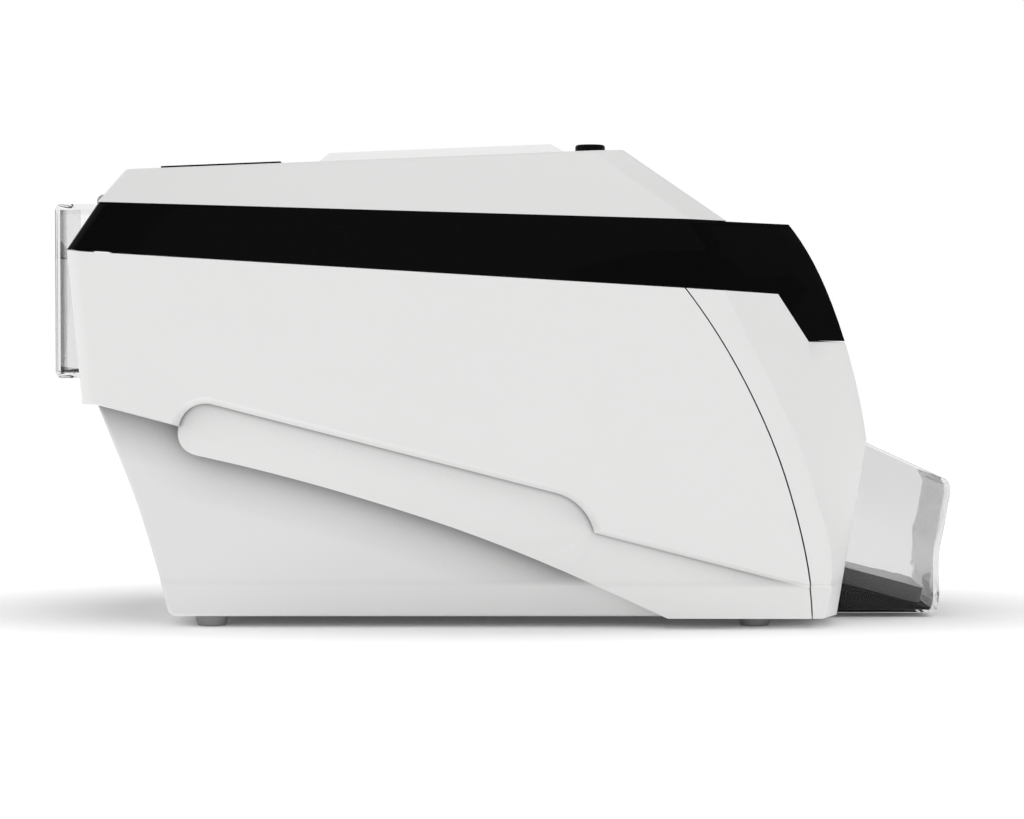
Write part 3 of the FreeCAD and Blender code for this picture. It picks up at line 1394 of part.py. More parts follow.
def write_all():
    write(base_tub(), "base_tub")
    write(front_fascia(), "front_fascia")
    write(black_band(), "black_band")
    write(rear_panel(), "rear_panel")
    write(display_window(), "display_window")
    write(panel_key(), "panel_key")
    write(top_cover(), "top_cover")
    write(cover_window(), "cover_window")
    write(release_button(), "release_button")
    write(latch_bar(), "latch_bar")
    write(cut(hinge_brackets(), [hinge_pins()]), "cover_hinge_brackets")
    write(hinge_pins(), "cover_hinge_pins")
    write(rear_hopper_cover(), "rear_hopper_cover")
    write(output_hopper(), "output_hopper")
    write(hopper_floor(), "hopper_floor")
    write(output_cards(), "output_cards")
    write(chassis_plate(True), "chassis_plate_right")
    write(chassis_plate(False), "chassis_plate_left")
    write(cross_bars(), "cross_bars")
    write(inner_deck(), "inner_deck")
    write(feeder_frame(), "feeder_frame")
    write(card_gate(), "card_gate")
    write(pick_shaft(), "pick_shaft")
    write(pick_tyres(), "pick_tyres")
    write(roller_shaft(centres["rear"], pulley_far).fuse(gear(centres["rear"], roller_teeth, shaft_radius,
                                                              phases["rear"])), "rear_drive_shaft")
    write(tyre(centres["rear"], guide_half, roller_radius), "rear_drive_tyre")
    write(roller_shaft(centres["platen"], gear_far), "platen_shaft")
    write(tyre(centres["platen"], guide_half + guide_wall, roller_radius), "platen_tyre")
    write(roller_shaft(centres["exit"], gear_far).fuse(gear(centres["exit"], roller_teeth, shaft_radius,
                                                            phases["exit"])), "exit_shaft")
    write(tyre(centres["exit"], guide_half, roller_radius), "exit_tyre")
    write(pinch_roller(rear_drive_s), "pinch_roller_rear")
    write(pinch_roller(exit_s), "pinch_roller_exit")
    write(gear(centres["platen"], roller_teeth, shaft_radius, phases["platen"]), "platen_gear")
    idler_bore = stub_radius + running_gap
    write(gear(centres["rear_idler"], roller_teeth, idler_bore, phases["rear_idler"]), "rear_idler_gear")
    write(gear(centres["front_idler"], big_teeth, idler_bore, phases["front_idler"]), "front_idler_gear")
    write(gear(centres["takeup"], takeup_teeth, shaft_radius, phases["takeup"]), "takeup_gear")
    write(motor_pinion(), "motor_pinion")
    write(drive_pulley(), "drive_pulley")
    write(feed_belt(), "feed_belt")
    write(supply_spool(), "supply_spool")
    write(film_roll(), "supply_film")
    write(takeup_spool(), "takeup_spool")
    write(ribbon_web(), "ribbon_web")
    write(thermal_head(), "thermal_head")
    write(head_heatsink(), "head_heatsink")
    write(head_bracket(), "head_bracket")
    write(main_motor(), "main_motor")
    write(main_board(), "main_board")
    write(fan_frame(), "fan_frame")
    write(fan_rotor(), "fan_rotor")
    write(connector_plate(), "connector_plate")
    write(power_socket(), "power_socket")
    write(usb_socket(), "usb_socket")
    write(network_socket(), "network_socket")
    write(power_switch_frame(), "power_switch_frame")
    write(power_rocker(), "power_rocker")
    write(rubber_feet(), "rubber_feet")
    write(base_screws(), "base_screws")


write_all()
for name, (x, z) in sorted(centres.items()):
    print("gear centre", name, round(x, 4), round(z, 4))
for s in (rear_drive_s, exit_s):
    print("pinch centre", [round(v, 4) for v in pinch_centre(s)])
print("pick centre", pick_centre())
print("head pivot", [round(v, 4) for v in head_point()], round(head_point()[1] + head_pin_rise, 4))
print("cover hinge", hinge_centre())
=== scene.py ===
import json
import math

import bmesh
import bpy
from bpy.props import FloatProperty, FloatVectorProperty, PointerProperty
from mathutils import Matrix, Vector

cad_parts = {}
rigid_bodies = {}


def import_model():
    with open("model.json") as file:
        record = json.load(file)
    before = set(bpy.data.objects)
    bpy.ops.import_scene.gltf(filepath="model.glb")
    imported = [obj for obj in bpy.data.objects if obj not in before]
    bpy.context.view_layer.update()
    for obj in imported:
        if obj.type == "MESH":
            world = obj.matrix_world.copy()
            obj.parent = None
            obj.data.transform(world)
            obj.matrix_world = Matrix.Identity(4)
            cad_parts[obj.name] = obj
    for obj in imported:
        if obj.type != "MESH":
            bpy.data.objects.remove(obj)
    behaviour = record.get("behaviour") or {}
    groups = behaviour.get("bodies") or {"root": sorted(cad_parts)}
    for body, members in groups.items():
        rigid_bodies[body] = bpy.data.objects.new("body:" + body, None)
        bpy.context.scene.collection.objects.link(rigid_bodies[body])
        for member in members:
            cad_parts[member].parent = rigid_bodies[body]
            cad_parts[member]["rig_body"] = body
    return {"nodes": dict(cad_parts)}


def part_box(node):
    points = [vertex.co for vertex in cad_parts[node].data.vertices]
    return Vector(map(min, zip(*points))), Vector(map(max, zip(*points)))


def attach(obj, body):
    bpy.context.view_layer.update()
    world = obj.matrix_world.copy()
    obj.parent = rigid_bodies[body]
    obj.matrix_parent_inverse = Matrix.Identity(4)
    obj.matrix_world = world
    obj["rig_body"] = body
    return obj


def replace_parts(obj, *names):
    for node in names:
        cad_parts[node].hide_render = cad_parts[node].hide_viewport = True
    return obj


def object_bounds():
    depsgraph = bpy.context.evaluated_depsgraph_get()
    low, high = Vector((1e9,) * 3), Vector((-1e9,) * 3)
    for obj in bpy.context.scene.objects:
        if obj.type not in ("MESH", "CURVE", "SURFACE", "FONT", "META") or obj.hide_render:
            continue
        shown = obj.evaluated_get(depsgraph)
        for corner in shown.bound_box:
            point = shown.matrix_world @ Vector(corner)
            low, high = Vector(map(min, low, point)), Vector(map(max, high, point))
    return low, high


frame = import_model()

bl_info = {
    "name": "Card printer dressing",
    "version": (1, 0, 0),
    "blender": (4, 5, 0),
    "location": "View3D > Sidebar > Card printer",
    "description": "Gives the packed model of a desk-top card printer its finishes and studio",
    "category": "Object",
}

packed_low, packed_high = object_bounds()

MM = 0.001
WELD = 0.002 * MM
FLAT = math.radians(0.15)
CREASE = math.radians(28.0)

# The card stack: front top edge, slope and pitch
STACK_TOP = (192.0 * MM, 0.0, 12.0 * MM)
STACK_SLOPE = math.radians(15.3)
CARD_PITCH = 0.81 * MM

# The platform on the cover, whose faces that look up are painted lighter, as if lit from above: half width,
# the line of its foot, and how far its faces look up
PLATFORM_HALF = 46.5 * MM
PLATFORM_REAR, PLATFORM_FRONT = (-86.43 * MM, 203.6 * MM), (35.26 * MM, 208.2 * MM)
PLATFORM_LOOKS_UP = 0.2

# The display's screen: half width and heights
SCREEN_HALF, SCREEN_LOW, SCREEN_HIGH = 24.0 * MM, 142.5 * MM, 161.5 * MM

# The ribbon: radius of its core, and how many times the panels repeat on the end of the roll
FILM_CORE, FILM_WRAPS = 8.0 * MM, 14.0
YELLOW, MAGENTA, CYAN = (0.75, 0.55, 0.01), (0.45, 0.01, 0.12), (0.0, 0.2, 0.45)
BLACK = (0.01, 0.01, 0.012)
WEB_PANELS = ((0.0, YELLOW), (0.12, MAGENTA), (0.56, CYAN), (0.93, BLACK))
ROLL_RINGS = ((0.0, BLACK), (0.2, CYAN), (0.48, MAGENTA), (0.76, YELLOW))

# Only the two faces of a card are larger than this
CARD_EDGE_AREA = (20 * MM) ** 2
# Shares of the card pitch over which the shade between two cards fades
CARD_GAP = (0.12, 0.36)

# Dust: its colour, and the peaks of the noise that are specks
DUST_COLOUR = (0.25, 0.25, 0.24)
SPECKS = (0.62, 0.75)

# How far the roughness of tooled metal swings to each side
LINE_ROUGHNESS = 0.06

# Clear plastic: refraction index, and the turn away from the eye over which a painted shade darkens its
# outline
CLEAR_INDEX = 1.2
OUTLINE_TURN = (0.6, 0.92)

# Painted recess shade: it ends over these heights, and faces that look down are painted lighter, as if lit
# by the floor
SHADE_END = (0.018, 0.03)
LOOKS_DOWN = (-0.6, -0.15)
PAINTED_FLOOR_LIGHT = 1.12

# The studio floor: half size, stretch, and the rings over which its own light and its white grow
FLOOR_HALF = 12.0
FLOOR_STRETCH = (0.55, 1.0, 1.0)
LIT_RING, WHITE_RING = (0.096, 0.13), (0.1, 0.2)

# The lamps: name, side and place; all face one point
LAMP_TARGET = (0.0, 0.0, 0.1)
LAMPS = (("lamp_overhead", 1.6, (0.15, -0.25, 1.9)),
         ("lamp_front_end", 1.1, (1.7, -0.5, 0.8)),
         ("lamp_rear_end", 1.1, (-1.7, -0.5, 0.8)),
         ("lamp_by_camera", 1.4, (0.3, -2.1, 0.9)))

SENSOR_WIDTH = 36.0
CLIP_START, CLIP_END = 0.05, 50.0


# Shader building


def put(tree, kind, settings=None, **sockets):
    """Adds a shader node; a socket given as a socket is linked, and anything else is its value."""
    made = tree.nodes.new("ShaderNode" + kind)
    for key, value in (settings or {}).items():
        setattr(made, key, value)
    for key, value in sockets.items():
        wire(tree, made, key.replace("_", " "), value)
    return made


def wire(tree, made, label, value):
    """Links or sets one input by its label, whatever the case of its words."""
    socket = next(s for s in made.inputs if s.name.lower() == label.lower() and s.enabled)
    if isinstance(value, bpy.types.NodeSocket):
        tree.links.new(value, socket)
    else:
        socket.default_value = value


def maths(tree, operation, *values, clamp=False):
    """A Math node over sockets and plain numbers."""
    made = put(tree, "Math", {"operation": operation, "use_clamp": clamp})
    fill(tree, made, values)
    return made.outputs[0]


def vector_maths(tree, operation, *values, result="Vector"):
    """A Vector Math node over sockets and plain vectors."""
    made = put(tree, "VectorMath", {"operation": operation})
    fill(tree, made, values)
    return made.outputs[result]


def fill(tree, made, values):
    """Links or sets a node's first inputs in their order."""
    for socket, value in zip(made.inputs, values):
        if isinstance(value, bpy.types.NodeSocket):
            tree.links.new(value, socket)
        else:
            socket.default_value = value


def blend(tree, share, first, second):
    """Two colours mixed by a share."""
    mixed = put(tree, "Mix", {"data_type": "RGBA"})
    tree.links.new(share, mixed.inputs[0])
    mixed.inputs[6].default_value = (*first[:3], 1.0)
    mixed.inputs[7].default_value = (*second[:3], 1.0)
    return mixed.outputs[2]


def ranged(tree, value, low, high, first=0.0, second=1.0):
    """A value from low to high turned into one from first to second, and held there."""
    made = put(tree, "MapRange", {"clamp": True}, Value=value, From_Min=low, From_Max=high, To_Min=first,
               To_Max=second)
    return made.outputs["Result"]


def noise(tree, place, scale, detail, roughness=0.5):
    made = put(tree, "TexNoise", Vector=place, Scale=scale, Detail=detail, Roughness=roughness)
    return made.outputs["Fac"]


def object_place(tree):
    """Place on the piece, in its own coordinates."""
    return put(tree, "TexCoord").outputs["Object"]


def effect(name, inputs, outputs):
    """An empty node group with named number inputs and named outputs."""
    tree = bpy.data.node_groups.new(name, "ShaderNodeTree")
    for label, value in inputs.items():
        kind = "NodeSocketVector" if isinstance(value, tuple) else "NodeSocketFloat"
        socket = tree.interface.new_socket(name=label, in_out="INPUT", socket_type=kind)
        socket.default_value = value
    for label, kind in outputs.items():
        tree.interface.new_socket(name=label, in_out="OUTPUT", socket_type="NodeSocket" + kind)
    return tree, tree.nodes.new("NodeGroupInput").outputs, tree.nodes.new("NodeGroupOutput")


def moulded_grain():
    """Spark-eroded mould grain, with a faint drift of tone over the piece."""
    tree, given, result = effect("Moulded grain", {"Scale": 1500.0, "Drift": 0.02, "Spread": 0.06},
                                 {"Height": "Float", "Tone": "Float", "Roughness shift": "Float"})
    place = object_place(tree)
    fine = noise(tree, place, given["Scale"], 2.0, 0.6)
    broad = noise(tree, place, 9.0, 2.0)
    tree.links.new(fine, result.inputs["Height"])
    centred = maths(tree, "SUBTRACT", broad, 0.5)
    drift = maths(tree, "MULTIPLY_ADD", centred, given["Drift"], 1.0)
    tree.links.new(drift, result.inputs["Tone"])
    tree.links.new(maths(tree, "MULTIPLY", centred, given["Spread"]), result.inputs["Roughness shift"])
    return tree


def tooled_lines():
    """Fine lines that a brush, a lathe or a rolling mill leaves, drawn out along one axis."""
    tree, given, result = effect("Tooled lines", {"Stretch": (60.0, 1500.0, 1500.0), "Drift": 0.12},
                                 {"Height": "Float", "Tone": "Float"})
    drawn = put(tree, "Mapping", Vector=object_place(tree), Scale=given["Stretch"]).outputs["Vector"]
    lines = noise(tree, drawn, 1.0, 3.0, 0.6)
    tree.links.new(lines, result.inputs["Height"])
    centred = maths(tree, "SUBTRACT", lines, 0.5)
    tone = maths(tree, "MULTIPLY_ADD", centred, given["Drift"], 1.0)
    tree.links.new(tone, result.inputs["Tone"])
    return tree


def settled_dust():
    """Specks and smears that gather on glossy plastic, as a mask."""
    tree, given, result = effect("Settled dust", {"Scale": 900.0, "Amount": 0.3}, {"Mask": "Float"})
    place = object_place(tree)
    specks = noise(tree, place, given["Scale"], 1.0)
    cloud = noise(tree, place, 22.0, 2.0)
    peaks = ranged(tree, specks, *SPECKS)
    both = maths(tree, "MULTIPLY", peaks, cloud)
    tree.links.new(maths(tree, "MULTIPLY", both, given["Amount"]), result.inputs["Mask"])
    return tree


def painted_shade_and_floor_light():
    """Painted shade that gathers in recesses and under ledges, and painted light on faces that look down,
    as a value that the colour is multiplied by.
    """
    tree, given, result = effect("Recess shade", {"Reach": 0.022, "Depth": 1.5}, {"Shade": "Float"})
    open_share = put(tree, "AmbientOcclusion", {"samples": 6}, Distance=given["Reach"]).outputs["AO"]
    heights = put(tree, "SeparateXYZ", Vector=object_place(tree)).outputs["Z"]
    near_floor = ranged(tree, heights, *SHADE_END, 1.0, 0.0)
    powered = maths(tree, "POWER", maths(tree, "MAXIMUM", open_share, near_floor), given["Depth"])
    facing = put(tree, "SeparateXYZ", Vector=put(tree, "NewGeometry").outputs["True Normal"]).outputs["Z"]
    # Painted light: faces that look down get a lighter colour, as if lit by the floor
    painted_floor_light = ranged(tree, facing, *LOOKS_DOWN, PAINTED_FLOOR_LIGHT, 1.0)
    tree.links.new(maths(tree, "MULTIPLY", powered, painted_floor_light), result.inputs["Shade"])
    return tree


def place_effect(tree, name, **values):
    made = tree.nodes.new("ShaderNodeGroup")
    made.node_tree = bpy.data.node_groups[name]
    for label, value in values.items():
        wire(tree, made, label.replace("_", " "), value)
    return made.outputs


def new_finish(name):
    """A material, its node tree and its Principled shader."""
    made = bpy.data.materials.new(name)
    made.use_nodes = True
    tree = made.node_tree
    return made, tree, tree.nodes["Principled BSDF"]


def tinted(tree, colour, tone):
    """A colour made lighter or darker by a value that varies over the surface; in the white mouldings it
    carries painted shade and painted floor light too.
    """
    toned = put(tree, "VectorMath", {"operation": "SCALE"})
    toned.inputs[0].default_value = colour[:3]
    tree.links.new(tone, toned.inputs["Scale"])
    return toned.outputs[0]


def add_to(tree, value, extra):
    return maths(tree, "ADD", extra, value, clamp=True)


def bump(tree, shader, height, depth):
    normal = put(tree, "Bump", Strength=1.0, Distance=depth, Height=height).outputs["Normal"]
    tree.links.new(normal, shader.inputs["Normal"])


def moulded(name, colour, roughness, grain=1500.0, depth=0.004 * MM, drift=0.02, spread=0.08,
            specular=0.5, shade=0.0):
    """Moulded plastic or rubber; shade paints a deeper tone into its recesses and a lighter one on faces
    that look down.
    """
    made, tree, shader = new_finish(name)
    texture = place_effect(tree, "Moulded grain", Scale=grain, Drift=drift, Spread=spread)
    tone = texture["Tone"]
    if shade:
        # Painted shade in recesses and painted floor light on faces that look down, multiplied into the
        # colour
        tone = maths(tree, "MULTIPLY", tone, place_effect(tree, "Recess shade", Depth=shade)["Shade"])
    wire(tree, shader, "Base Color", tinted(tree, colour, tone))
    wire(tree, shader, "Roughness", add_to(tree, roughness, texture["Roughness shift"]))
    shader.inputs["Specular IOR Level"].default_value = specular
    bump(tree, shader, texture["Height"], depth)
    return made


def polished(name, colour, roughness, specular, dust):
    """High-gloss plastic with a little dust on it."""
    made, tree, shader = new_finish(name)
    mask = place_effect(tree, "Settled dust", Amount=dust)["Mask"]
    tree.links.new(blend(tree, mask, colour, DUST_COLOUR), shader.inputs["Base Color"])
    wire(tree, shader, "Roughness", add_to(tree, roughness, mask))
    shader.inputs["Specular IOR Level"].default_value = specular
    return made


def metal(name, colour, roughness, stretch, drift, depth=0.002 * MM, spangle=0.0):
    """Rolled, turned or brushed metal; spangle gives zinc its crystals."""
    made, tree, shader = new_finish(name)
    lines = place_effect(tree, "Tooled lines", Stretch=stretch, Drift=drift)
    tone = lines["Tone"]
    if spangle:
        cells = put(tree, "TexVoronoi", Vector=object_place(tree), Scale=140.0).outputs["Color"]
        grey = put(tree, "SeparateColor", Color=cells).outputs[0]
        tone = maths(tree, "MULTIPLY", tone, ranged(tree, grey, 0.0, 1.0, 1.0 - spangle, 1.0 + spangle))
    wire(tree, shader, "Base Color", tinted(tree, colour, tone))
    shader.inputs["Metallic"].default_value = 1.0
    swing = maths(tree, "MULTIPLY", lines["Height"], 2.0 * LINE_ROUGHNESS)
    wire(tree, shader, "Roughness", add_to(tree, roughness - LINE_ROUGHNESS, swing))
    bump(tree, shader, lines["Height"], depth)
    return made


def see_through(name, tint, density, roughness, surface, outline_shade):
    """Clear or smoked moulding that darkens with depth, with painted shade towards its outline; lamps reach
    behind it.
    """
    made, tree, shader = new_finish(name)
    facing = put(tree, "LayerWeight", Blend=0.5).outputs["Facing"]
    # Painted shade: the colour darkens towards the outline as the face turns away from the eye
    tree.links.new(ranged(tree, facing, *OUTLINE_TURN, surface, outline_shade), shader.inputs["Base Color"])
    shader.inputs["Transmission Weight"].default_value = 1.0
    shader.inputs["IOR"].default_value = CLEAR_INDEX
    mask = place_effect(tree, "Settled dust", Amount=0.12)["Mask"]
    wire(tree, shader, "Roughness", add_to(tree, roughness, mask))
    volume = put(tree, "VolumeAbsorption", Color=(*tint[:3], 1.0), Density=density)
    output = tree.nodes["Material Output"]
    tree.links.new(volume.outputs[0], output.inputs["Volume"])
    lamp_ray = put(tree, "LightPath").outputs["Is Shadow Ray"]
    through = put(tree, "BsdfTransparent", Color=(0.9, 0.9, 0.9, 1.0))
    mixed = put(tree, "MixShader")
    tree.links.new(lamp_ray, mixed.inputs[0])
    tree.links.new(shader.outputs[0], mixed.inputs[1])
    tree.links.new(through.outputs[0], mixed.inputs[2])
    tree.links.new(mixed.outputs[0], output.inputs["Surface"])
    return made


def banded(tree, stops, value):
    """Colours that follow a value in hard steps."""
    ramp = put(tree, "ValToRGB")
    ramp.color_ramp.interpolation = "CONSTANT"
    while len(ramp.color_ramp.elements) < len(stops):
        ramp.color_ramp.elements.new(0.5)
    for element, (start, colour) in zip(ramp.color_ramp.elements, stops):
        element.position = start
        element.color = (*colour, 1.0)
    tree.links.new(value, ramp.inputs["Fac"])
    return ramp.outputs["Color"]


def film(name, low, high, stops):
    """Dye film whose panels follow one another along the X axis."""
    made, tree, shader = new_finish(name)
    along = put(tree, "SeparateXYZ", Vector=object_place(tree)).outputs["X"]
    share = ranged(tree, along, low, high)
    tree.links.new(banded(tree, stops, share), shader.inputs["Base Color"])
    mask = place_effect(tree, "Settled dust", Amount=0.4)["Mask"]
    wire(tree, shader, "Roughness", add_to(tree, 0.18, mask))
    return made


def wound_film(name, centre, core, outer, stops):
    """Dye film wound on a spool: the panels show as rings on its ends."""
    made, tree, shader = new_finish(name)
    moved = vector_maths(tree, "SUBTRACT", object_place(tree), centre)
    flat = vector_maths(tree, "MULTIPLY", moved, (1.0, 0.0, 1.0))
    share = ranged(tree, vector_maths(tree, "LENGTH", flat, result="Value"), core, outer)
    turn = maths(tree, "FRACT", maths(tree, "MULTIPLY", share, FILM_WRAPS))
    tree.links.new(banded(tree, stops, turn), shader.inputs["Base Color"])
    mask = place_effect(tree, "Settled dust", Amount=0.3)["Mask"]
    wire(tree, shader, "Roughness", add_to(tree, 0.22, mask))
    return made


def stacked_edges(name, colour, gap_shade_colour):
    """Cut edges of the stacked cards, with painted shade towards the line where two cards meet."""
    made, tree, shader = new_finish(name)
    moved = vector_maths(tree, "SUBTRACT", object_place(tree), STACK_TOP)
    across = (math.sin(STACK_SLOPE), 0.0, math.cos(STACK_SLOPE))
    depth = vector_maths(tree, "DOT_PRODUCT", moved, across, result="Value")
    wave = maths(tree, "PINGPONG", maths(tree, "DIVIDE", depth, CARD_PITCH), 0.5)
    card = ranged(tree, wave, *CARD_GAP)
    # Painted shade between two cards: the gap colour where the wave is low
    tree.links.new(blend(tree, card, gap_shade_colour, colour), shader.inputs["Base Color"])
    texture = place_effect(tree, "Moulded grain", Scale=2500.0, Drift=0.1, Spread=0.08)
    wire(tree, shader, "Roughness", add_to(tree, 0.5, texture["Roughness shift"]))
    bump(tree, shader, texture["Height"], 0.01 * MM)
    return made


def board_mask(name, colour, copper):
    """Solder mask over copper tracks and plated holes."""
    made, tree, shader = new_finish(name)
    place = object_place(tree)
    turned = put(tree, "Mapping", Vector=place, Rotation=(math.radians(90.0), 0.0, 0.0)).outputs["Vector"]
    tracks = put(tree, "TexBrick", {"offset": 0.37, "squash": 1.6, "squash_frequency": 3}, Vector=turned,
                 Color1=(0.0, 0.0, 0.0, 1.0), Color2=(0.0, 0.0, 0.0, 1.0), Mortar=(1.0, 1.0, 1.0, 1.0),
                 Scale=120.0, Mortar_Size=0.035, Brick_Width=0.9, Row_Height=0.28).outputs["Color"]
    kept = ranged(tree, noise(tree, place, 60.0, 1.0), 0.46, 0.5)
    mask = maths(tree, "MULTIPLY", tracks, kept)
    tree.links.new(blend(tree, mask, colour, copper), shader.inputs["Base Color"])
    shader.inputs["Roughness"].default_value = 0.32
    bump(tree, shader, mask, 0.03 * MM)
    return made


def display_face(name):
    """Black glass with the plain grey field of a switched-off screen behind it."""
    made, tree, shader = new_finish(name)
    parts = put(tree, "SeparateXYZ", Vector=object_place(tree)).outputs
    within = maths(tree, "LESS_THAN", maths(tree, "ABSOLUTE", parts["Y"]), SCREEN_HALF)
    above = maths(tree, "GREATER_THAN", parts["Z"], SCREEN_LOW)
    below = maths(tree, "LESS_THAN", parts["Z"], SCREEN_HIGH)
    field = maths(tree, "MULTIPLY", maths(tree, "MULTIPLY", within, above), below)
    glass = blend(tree, field, (0.004, 0.004, 0.0045), (0.035, 0.042, 0.045))
    tree.links.new(glass, shader.inputs["Base Color"])
    shader.inputs["Roughness"].default_value = 0.05
    shader.inputs["Specular IOR Level"].default_value = 0.3
    return made


# Mesh building


def platform_foot(x):
    """Height of the cover's top at x, just under the platform's foot."""
    (rear_x, rear_z), (front_x, front_z) = PLATFORM_REAR, PLATFORM_FRONT
    if not rear_x - MM < x < front_x + MM:
        return packed_high.z
    return rear_z + (front_z - rear_z) * (x - rear_x) / (front_x - rear_x)


def welded(node):
    """A copy of a CAD node's mesh as a bmesh, its points merged and its flat faces whole."""
    form = bmesh.new()
    form.from_mesh(frame["nodes"][node].data)
    bmesh.ops.remove_doubles(form, verts=form.verts[:], dist=WELD)
    bmesh.ops.dissolve_limit(form, angle_limit=FLAT, verts=form.verts[:], edges=form.edges[:])
    return form


def body_of(node):
    return frame["nodes"][node]["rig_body"]


def finished(form, name, body, finishes, rounding, segments=2):
    """Turns a bmesh into a piece at the origin, with rounded edges, its finish and body."""
    mesh = bpy.data.meshes.new(name)
    form.to_mesh(mesh)
    form.free()
    mesh.shade_smooth()
    mesh.set_sharp_from_angle(angle=CREASE)
    piece = bpy.data.objects.new(name, mesh)
    bpy.context.scene.collection.objects.link(piece)
    for finish in finishes:
        mesh.materials.append(bpy.data.materials[finish])
    if rounding:
        edges = piece.modifiers.new("Rounded edges", "BEVEL")
        edges.width = rounding
        edges.segments = segments
        edges.limit_method = "ANGLE"
        edges.angle_limit = CREASE
        edges.harden_normals = True
        edges.miter_outer = "MITER_ARC"
    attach(piece, body)
    return piece


def dressed(node, finish, rounding, segments=2):
    """A welded copy of a CAD node with rounded edges, which stands for it."""
    piece = finished(welded(node), node + "_dressed", body_of(node), [finish], rounding,
                     segments)
    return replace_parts(piece, node)


def painted(node, finish):
    """A CAD node that stays as it is, with its real finish."""
    mesh = frame["nodes"][node].data
    mesh.materials.clear()
    mesh.materials.append(bpy.data.materials[finish])


# Settings that a user would change


def colour(name, description, default):
    return FloatVectorProperty(name=name, description=description, default=default, size=3, subtype="COLOR",
                               min=0.0, max=1.0)


def size(name, description, default):
    return FloatProperty(name=name, description=description, default=default, unit="LENGTH", min=0.0)


def factor(name, description, default):
    return FloatProperty(name=name, description=description, default=default, subtype="FACTOR", min=0.0,
                         max=1.0)


def amount(name, description, default):
    return FloatProperty(name=name, description=description, default=default, min=0.0)


class CasingSettings(bpy.types.PropertyGroup):
    shell_colour: colour("Shell", "Colour of the outer mouldings", (0.79, 0.79, 0.785))
    base_colour: colour("Base", "Colour of the lower tub", (0.76, 0.76, 0.757))
    gloss_colour: colour("Band", "Colour of the gloss band", (0.0015, 0.0015, 0.0016))
    edge: size("Edge", "Rounding of the moulded edges", 0.35 * MM)
    # Painted light: this lighter colour goes on the platform's faces that look up
    platform_painted_light_colour: colour("Platform", "Colour of the raised platform on the cover", (0.97, 0.97, 0.965))
    roughness: factor("Shell roughness", "Roughness of the satin mouldings", 0.42)
    shade: amount("Recess shade", "How much darker the white mouldings are in recesses", 1.5)


class ClearSettings(bpy.types.PropertyGroup):
    tint: colour("Tint", "Tint of the clear hoppers", (0.45, 0.47, 0.47))
    density: amount("Density", "How fast the clear plastic darkens, per metre", 4.0)
    surface: factor("Rear clearness", "Share of the light that a wall of the rear box lets through", 0.97)
    tray_surface: factor("Front clearness", "Share of the light that a wall of the front box lets through",
                         0.79)
    smoke: amount("Smoke", "How fast the smoked window darkens, per metre", 900.0)
    edge: size("Edge", "Rounding of the clear mouldings' edges", 0.5 * MM)


class CardSettings(bpy.types.PropertyGroup):
    # Painted shade: the white cards get dark greys for the shade they lie in inside the hopper
    face_painted_shade_colour: colour("Face", "Colour of a card's faces", (0.33, 0.33, 0.33))
    edge_painted_shade_colour: colour("Edge colour", "Colour of a card's cut edge", (0.22, 0.22, 0.22))
    gap_shade_colour: colour("Gap colour", "Colour of the shade between two cards", (0.03, 0.03, 0.03))
    edge: size("Edge", "Rounding of a card's cut edge", 0.14 * MM)


class MechanismSettings(bpy.types.PropertyGroup):
    gear_colour: colour("Gears", "Colour of the plain acetal gears", (0.72, 0.70, 0.62))
    spool_colour: colour("Spools", "Colour of the ribbon cores", (0.55, 0.58, 0.62))
    edge: size("Edge", "Rounding of machined edges", 0.2 * MM)


class StudioSettings(bpy.types.PropertyGroup):
    eye: FloatVectorProperty(name="Camera", description="Where the camera stands", size=3,
                             subtype="TRANSLATION", unit="LENGTH", default=(0.0047, -1.314, 0.131))
    pitch: FloatProperty(name="Pitch", description="How far the camera looks down", subtype="ANGLE",
                         default=math.radians(1.67))
    lens: amount("Lens", "Focal length in millimetres on a 36 mm sensor", 99.7)
    sky: amount("Sky", "Strength of the light from all round", 0.55)
    top: amount("Top lamp", "Power of the lamp overhead, in watts", 6.0)
    side: amount("Rear lamp", "Power of the lamp at the rear end, in watts", 5.0)
    fore: amount("Fore lamp", "Power of the lamp at the front end, in watts", 1.6)
    front: amount("Camera lamp", "Power of the lamp behind the camera, in watts", 3.5)
    table: amount("Table light", "Light that the floor itself gives off", 0.4)
    glow: amount("Floor glow", "White added where the camera sees the floor nearby", 0.06)
    far_glow: amount("Far floor glow", "White added where the camera sees the far floor", 0.5)


SETTINGS = {"printer_casing": CasingSettings, "printer_clear": ClearSettings, "printer_cards": CardSettings,
            "printer_mechanism": MechanismSettings, "printer_studio": StudioSettings}


class PrinterOperator(bpy.types.Operator):
    bl_options = {"REGISTER", "UNDO"}


